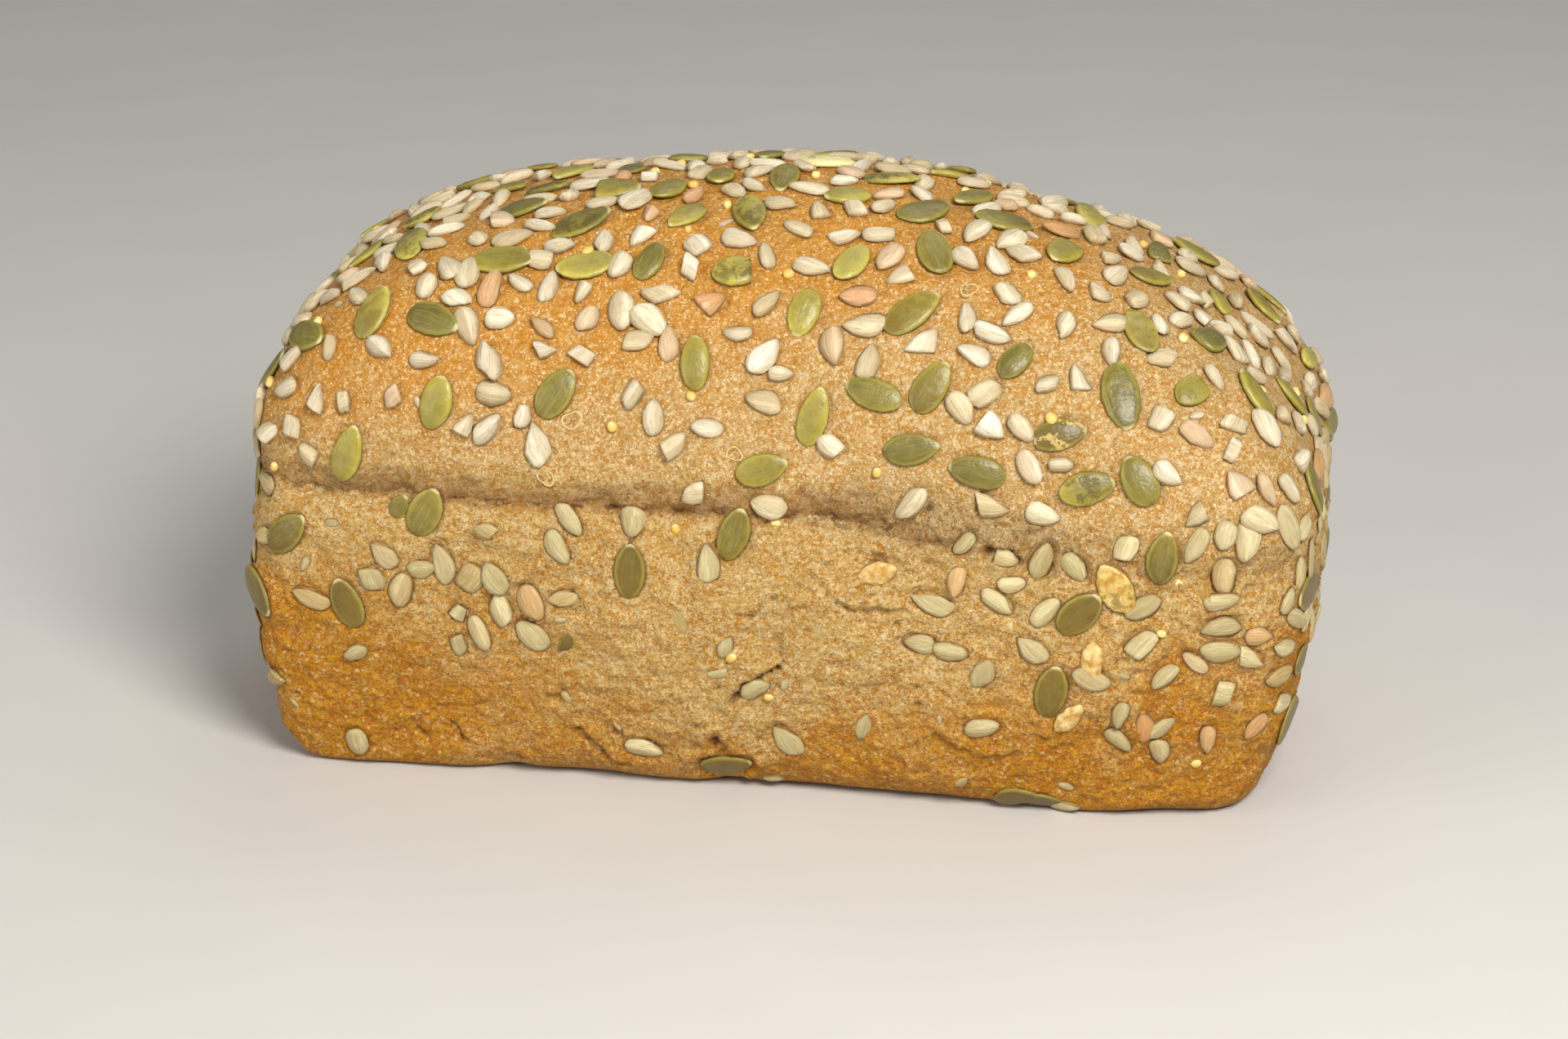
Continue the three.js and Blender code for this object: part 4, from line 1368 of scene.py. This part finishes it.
# Dark spots in the torn band: painted shade of the gaps between its strands
torn_gap_shade = stretch(grainy(where, 1.7, 3.0, 0.65), 0.64, 0.68) * torn
# Painted shade under the dome's overhanging lip, fading upwards, and a broken dark line of painted shadow
# just beneath the lip
over = gap + stretch(grainy(where, 1.5, 4.0, 0.65), 0.3, 0.7, -0.9, 0.9)
under_lip_shade = stretch(over, 6.5, 0.3) * stretch(over, -1.5, 0.0)
line = maths("MINIMUM", stretch(over, -0.5, -0.15), stretch(over, 0.55, 0.15))
dashes = stretch(grainy(where, 3.6, 2.0), 0.45, 0.56)
# Painted shade in the grooves, holes, pores and caves, darker where the mask is deeper
deep = hollow + stretch(grainy(where, 0.9, 4.0, 0.7), 0.3, 0.7, -0.3, 0.3)
# A thin ring of painted contact shadow on the crust just outside each seed's outline, weaker on the dome
around = near + stretch(lumpy, 0.3, 0.7, -0.25, 0.25) * 0.2
edge = stretch(around, 1.13, 1.02) * stretch(around, 0.8, 0.95)
skin = paint(
    skin,
    (crinkle_shade * 0.22, GLOOM),
    (threads * calm, BRAN),
    (torn_gap_shade * 0.7, DEEP_SHADE),
    (under_lip_shade * cleft * stretch(fibres, 0.3, 0.7, 0.55, 1.0) * 0.9, GLOOM),
    (line * dashes * cleft * 0.9, DEEP_SHADE),
    (stretch(deep, 0.15, 0.7) * 0.6, GLOOM),
    (stretch(deep, 0.7, 0.95) * 0.7, DEEP_SHADE),
    (edge * by_place(0.6, 0.28), PORE_AND_SEED_SHADE),
)
dull = stretch(sand + dome * -0.25, 0.1, 0.8, 0.42, 0.85)
tree.links.new(dull.socket, shader.inputs["Roughness"])
smoother = by_place(1.0, 0.55)
crust_bumps = (
    (puffs * by_place(1.0, 0.3), 1.3),
    (blotch * by_place(0.5, 0.35) + fibres * torn * 1.8, 0.8),
    (fine_blotch * smoother, 0.2),
    (sand * smoother, 0.11),
    (grit, 0.05),
)
finish_material(skin, crust_bumps, "loaf_crust")

# %% [markdown]
# ## Seed finishes
#
# A pumpkin seed is grey-green in the middle and yellow-green towards its bead, with a
# satin gloss, and painted shade darkens its very edge. A kernel is cream with faint long
# streaks, and painted shade darkens one facet beside its ridge, its margin and its edge.
# Both carry a tone of their own for each seed, and are darker where they sink into
# the crust, partly browner and partly by painted shade low on the flank. Millet is a
# warm yellow ball with a pale spot.

# %% Pumpkin material
COAT = {"Coat Weight": 0.08, "Coat Roughness": 0.25}
material, tree, shader = new_material("pumpkin_seed_skin", 0.38, 0.42, **COAT)
where = place_in_mm()
tone, roast, inner, proud, along, side = masks_of("tone", "roast", "inner", "proud", "length", "side")
pressed, rotten, flesh = masks_of("pressed", "spoiled", "flesh")
_, mottle, fine = speckle(where, 2.6)
cloud = grainy(where, 2.2)
streaks = streaks_along(along, side, tone, 1.4)
height = put("SeparateXYZ", {0: where}, 2)
green = paint(
    (88, 74, 22),
    (stretch(tone, 0.0, 0.2), (116, 100, 30)),
    (stretch(tone, 0.2, 0.5), (152, 134, 44)),
    (stretch(tone, 0.5, 0.8), (178, 160, 58)),
    (stretch(tone, 0.8, 1.0), (200, 184, 88)),
    (pressed * 0.75, (100, 74, 0)),
)
lean = along * stretch(roast, 0, 1, -0.5, 0.5) + stretch(cloud, 0.3, 0.7, 0.3, 0.7)
dark, light = blend(0.62, green, (72, 60, 18)), blend(0.25, green, (190, 178, 70))
skin = blend(stretch(lean, 0.05, 0.95), dark, light)
to_middle = stretch(inner + stretch(streaks, 0.3, 0.7, -0.25, 0.25), 0.2, 0.8)
# Painted shade at the seed's very margin and low on its flank where it meets the crust
edge = maths("MAXIMUM", stretch(inner, 0.05, 0.0, 0.0, 0.35), stretch(proud, 0.32, 0.0, 0.0, 0.75))
bare = blend(stretch(cloud, 0.4, 0.6), (172, 128, 44), (214, 186, 112))
skin = paint(
    skin,
    (to_middle, blend(0.4, skin, (116, 110, 62))),
    (stretch(streaks, 0.52, 0.7) * 0.14, (190, 180, 92)),
    (stretch(streaks, 0.46, 0.3) * 0.22, (78, 66, 26)),
    (stretch(fine, 0.55, 0.75) * 0.25, (84, 74, 30)),
    (stretch(roast, 0.14, 0.08) * stretch(mottle, 0.45, 0.6) * 0.6, (64, 50, 12)),
    (stretch(roast, 0.86, 0.91) * stretch(cloud, 0.4, 0.6) * 0.6, (112, 84, 26)),
    (stretch(height, 60, 50) * pressed * 0.5, (98, 66, 0)),
    (rotten * 0.8, (88, 70, 26)),
    (rotten * stretch(mottle, 0.6, 0.65) * 0.85, (196, 166, 98)),
    (stretch(inner, 0.3, 0.12) * 0.25, (190, 182, 88)),
    (edge, (76, 58, 18)),
    (
        stretch(flesh, 0.0, 0.5) * stretch(mottle, 0.3, 0.42, 0.3, 0.95),
        blend(stretch(flesh, 0.5, 1.0), (226, 214, 152), bare),
    ),
    (stretch(along, 0.86, 0.97) * 0.7, (214, 204, 146)),
)
finish_material(skin, ((cloud, 0.35), (streaks, 0.05), (fine, 0.05)), "pumpkin_seeds", "caught_seeds")


# %% Kernel material
def through(weight, red, green, blue):
    """Light that goes in and comes out again, at these distances in mm for each colour."""
    radius = (red * MM, green * MM, blue * MM)
    return {"Subsurface Weight": weight, "Subsurface Radius": radius, "Subsurface Scale": 1.0}


material, tree, shader = new_material("kernel_skin", 0.48, 0.4, **through(0.12, 0.9, 0.6, 0.3))
where = place_in_mm()
tone, roast, inner, proud, along, side = masks_of("tone", "roast", "inner", "proud", "length", "side")
(pressed,) = masks_of("pressed")
_, spots, fine = speckle(where, 1.4)
streaks = streaks_along(along, side, tone, 1.3)
golden = stretch(roast, 0.5, 0.42) * stretch(roast, 0.24, 0.32) * stretch(pressed, 0, 1, 0.12, 0.5)
# Painted shade over the facet on one side of the kernel's ridge, so that its two halves look lit differently
keel = stretch(roast * 0.8 + side + -0.4, -0.12, 0.12, 0.35, 0.0)
# Painted shade at the kernel's very margin and low on its flank where it meets the crust
edge = maths("MAXIMUM", stretch(inner, 0.05, 0.0, 0.0, 0.25), stretch(proud, 0.3, 0.0, 0.0, 0.75))
skin = paint(
    blend(tone, (204, 187, 148), (230, 221, 197)),
    (pressed * 0.9, blend(tone, (168, 154, 102), (210, 196, 144))),
    (golden, (186, 148, 74)),
    (stretch(roast, 0.1, 0.04) * stretch(pressed, 0, 1, 0.55, 0.25), (216, 168, 128)),
    (stretch(roast, 0.93, 0.98) * 0.8, (200, 134, 72)),
    (stretch(streaks, 0.5, 0.68) * 0.42, (156, 132, 84)),
    (stretch(streaks, 0.42, 0.3) * 0.4, (238, 226, 196)),
    (stretch(spots, 0.6, 0.95) * 0.3, (150, 122, 74)),
    (stretch(fine, 0.56, 0.75) * 0.25, (158, 128, 80)),
    (keel, (150, 126, 80)),
    # Painted shade towards the kernel's margin, where its body turns away from the light
    (stretch(inner, 0.4, 0.0, 0.0, 0.4), (158, 128, 78)),
    (edge * stretch(pressed, 0, 1, 0.7, 1.0), (112, 80, 38)),
)
kernels = ("sunflower_kernels", "small_seeds", "stray_kernels", "buried_kernels")
finish_material(skin, ((streaks, 0.3), (fine, 0.1)), *kernels)

# %% Chunk, crater and millet materials
material, tree, shader = new_material("seed_flesh", 0.4, 0.4, **through(0.15, 1.0, 0.7, 0.3))
cloud = grainy(place_in_mm(), 1.8)
(proud,) = masks_of("proud")
skin = blend(stretch(cloud, 0.35, 0.65), (180, 134, 56), (226, 200, 138))
# Painted shade low on each chunk, where it meets the crust
skin = blend(stretch(proud, 0.3, 0.0, 0.0, 0.8), skin, (112, 78, 28))
finish_material(skin, ((cloud, 0.6),), "seed_chunks")

material, tree, shader = new_material("crater_skin", 0.5, 0.35)
cloud = grainy(place_in_mm(), 0.5)
(reach,) = masks_of("reach")
skin = paint(
    blend(stretch(cloud, 0.4, 0.6), (132, 92, 42), (184, 150, 92)),
    (stretch(reach, 0.84, 0.96), (216, 192, 138)),
    (stretch(reach, 1.0, 1.1), (186, 152, 88)),
    (stretch(cloud, 0.5, 0.58, 0.0, 0.6), (184, 148, 86)),
)
finish_material(skin, ((cloud, 0.15),), "burst_bubbles")

material, tree, shader = new_material("millet_skin", 0.42, 0.45)
tone, along = masks_of("tone", "length")
_, _, fine = speckle(place_in_mm(), 0.6)
skin = paint(
    blend(tone, (214, 170, 72), (240, 214, 132)),
    (stretch(along, 0.45, 0.9) * 0.6, (248, 238, 196)),
    (stretch(fine, 0.55, 0.75) * 0.25, (150, 98, 36)),
)
finish_material(skin, ((fine, 0.05),), "millet_grains")

# %% [markdown]
# ## Floor
#
# A large pale disc under the loaf catches its soft shadow.

# %% Floor
FLOOR_RADIUS, FLOOR_SIDES = 6000, 96
turn = 2 * pi * np.arange(FLOOR_SIDES) / FLOOR_SIDES
rim = np.stack([FLOOR_RADIUS * np.cos(turn), FLOOR_RADIUS * np.sin(turn), 0 * turn], -1) * MM
floor_mesh = bpy.data.meshes.new("floor")
floor_mesh.from_pydata(rim.tolist(), [], [list(range(FLOOR_SIDES))])
floor = bpy.data.objects.new("floor", floor_mesh)
bpy.context.scene.collection.objects.link(floor)
material, tree, shader = new_material("pale_floor", 0.8, 0.2)
tint = blend(grainy(place_in_mm(), 60), (200, 196, 190), (207, 203, 197))
tree.links.new(tint.socket, shader.inputs["Base Color"])
floor_mesh.materials.append(material)
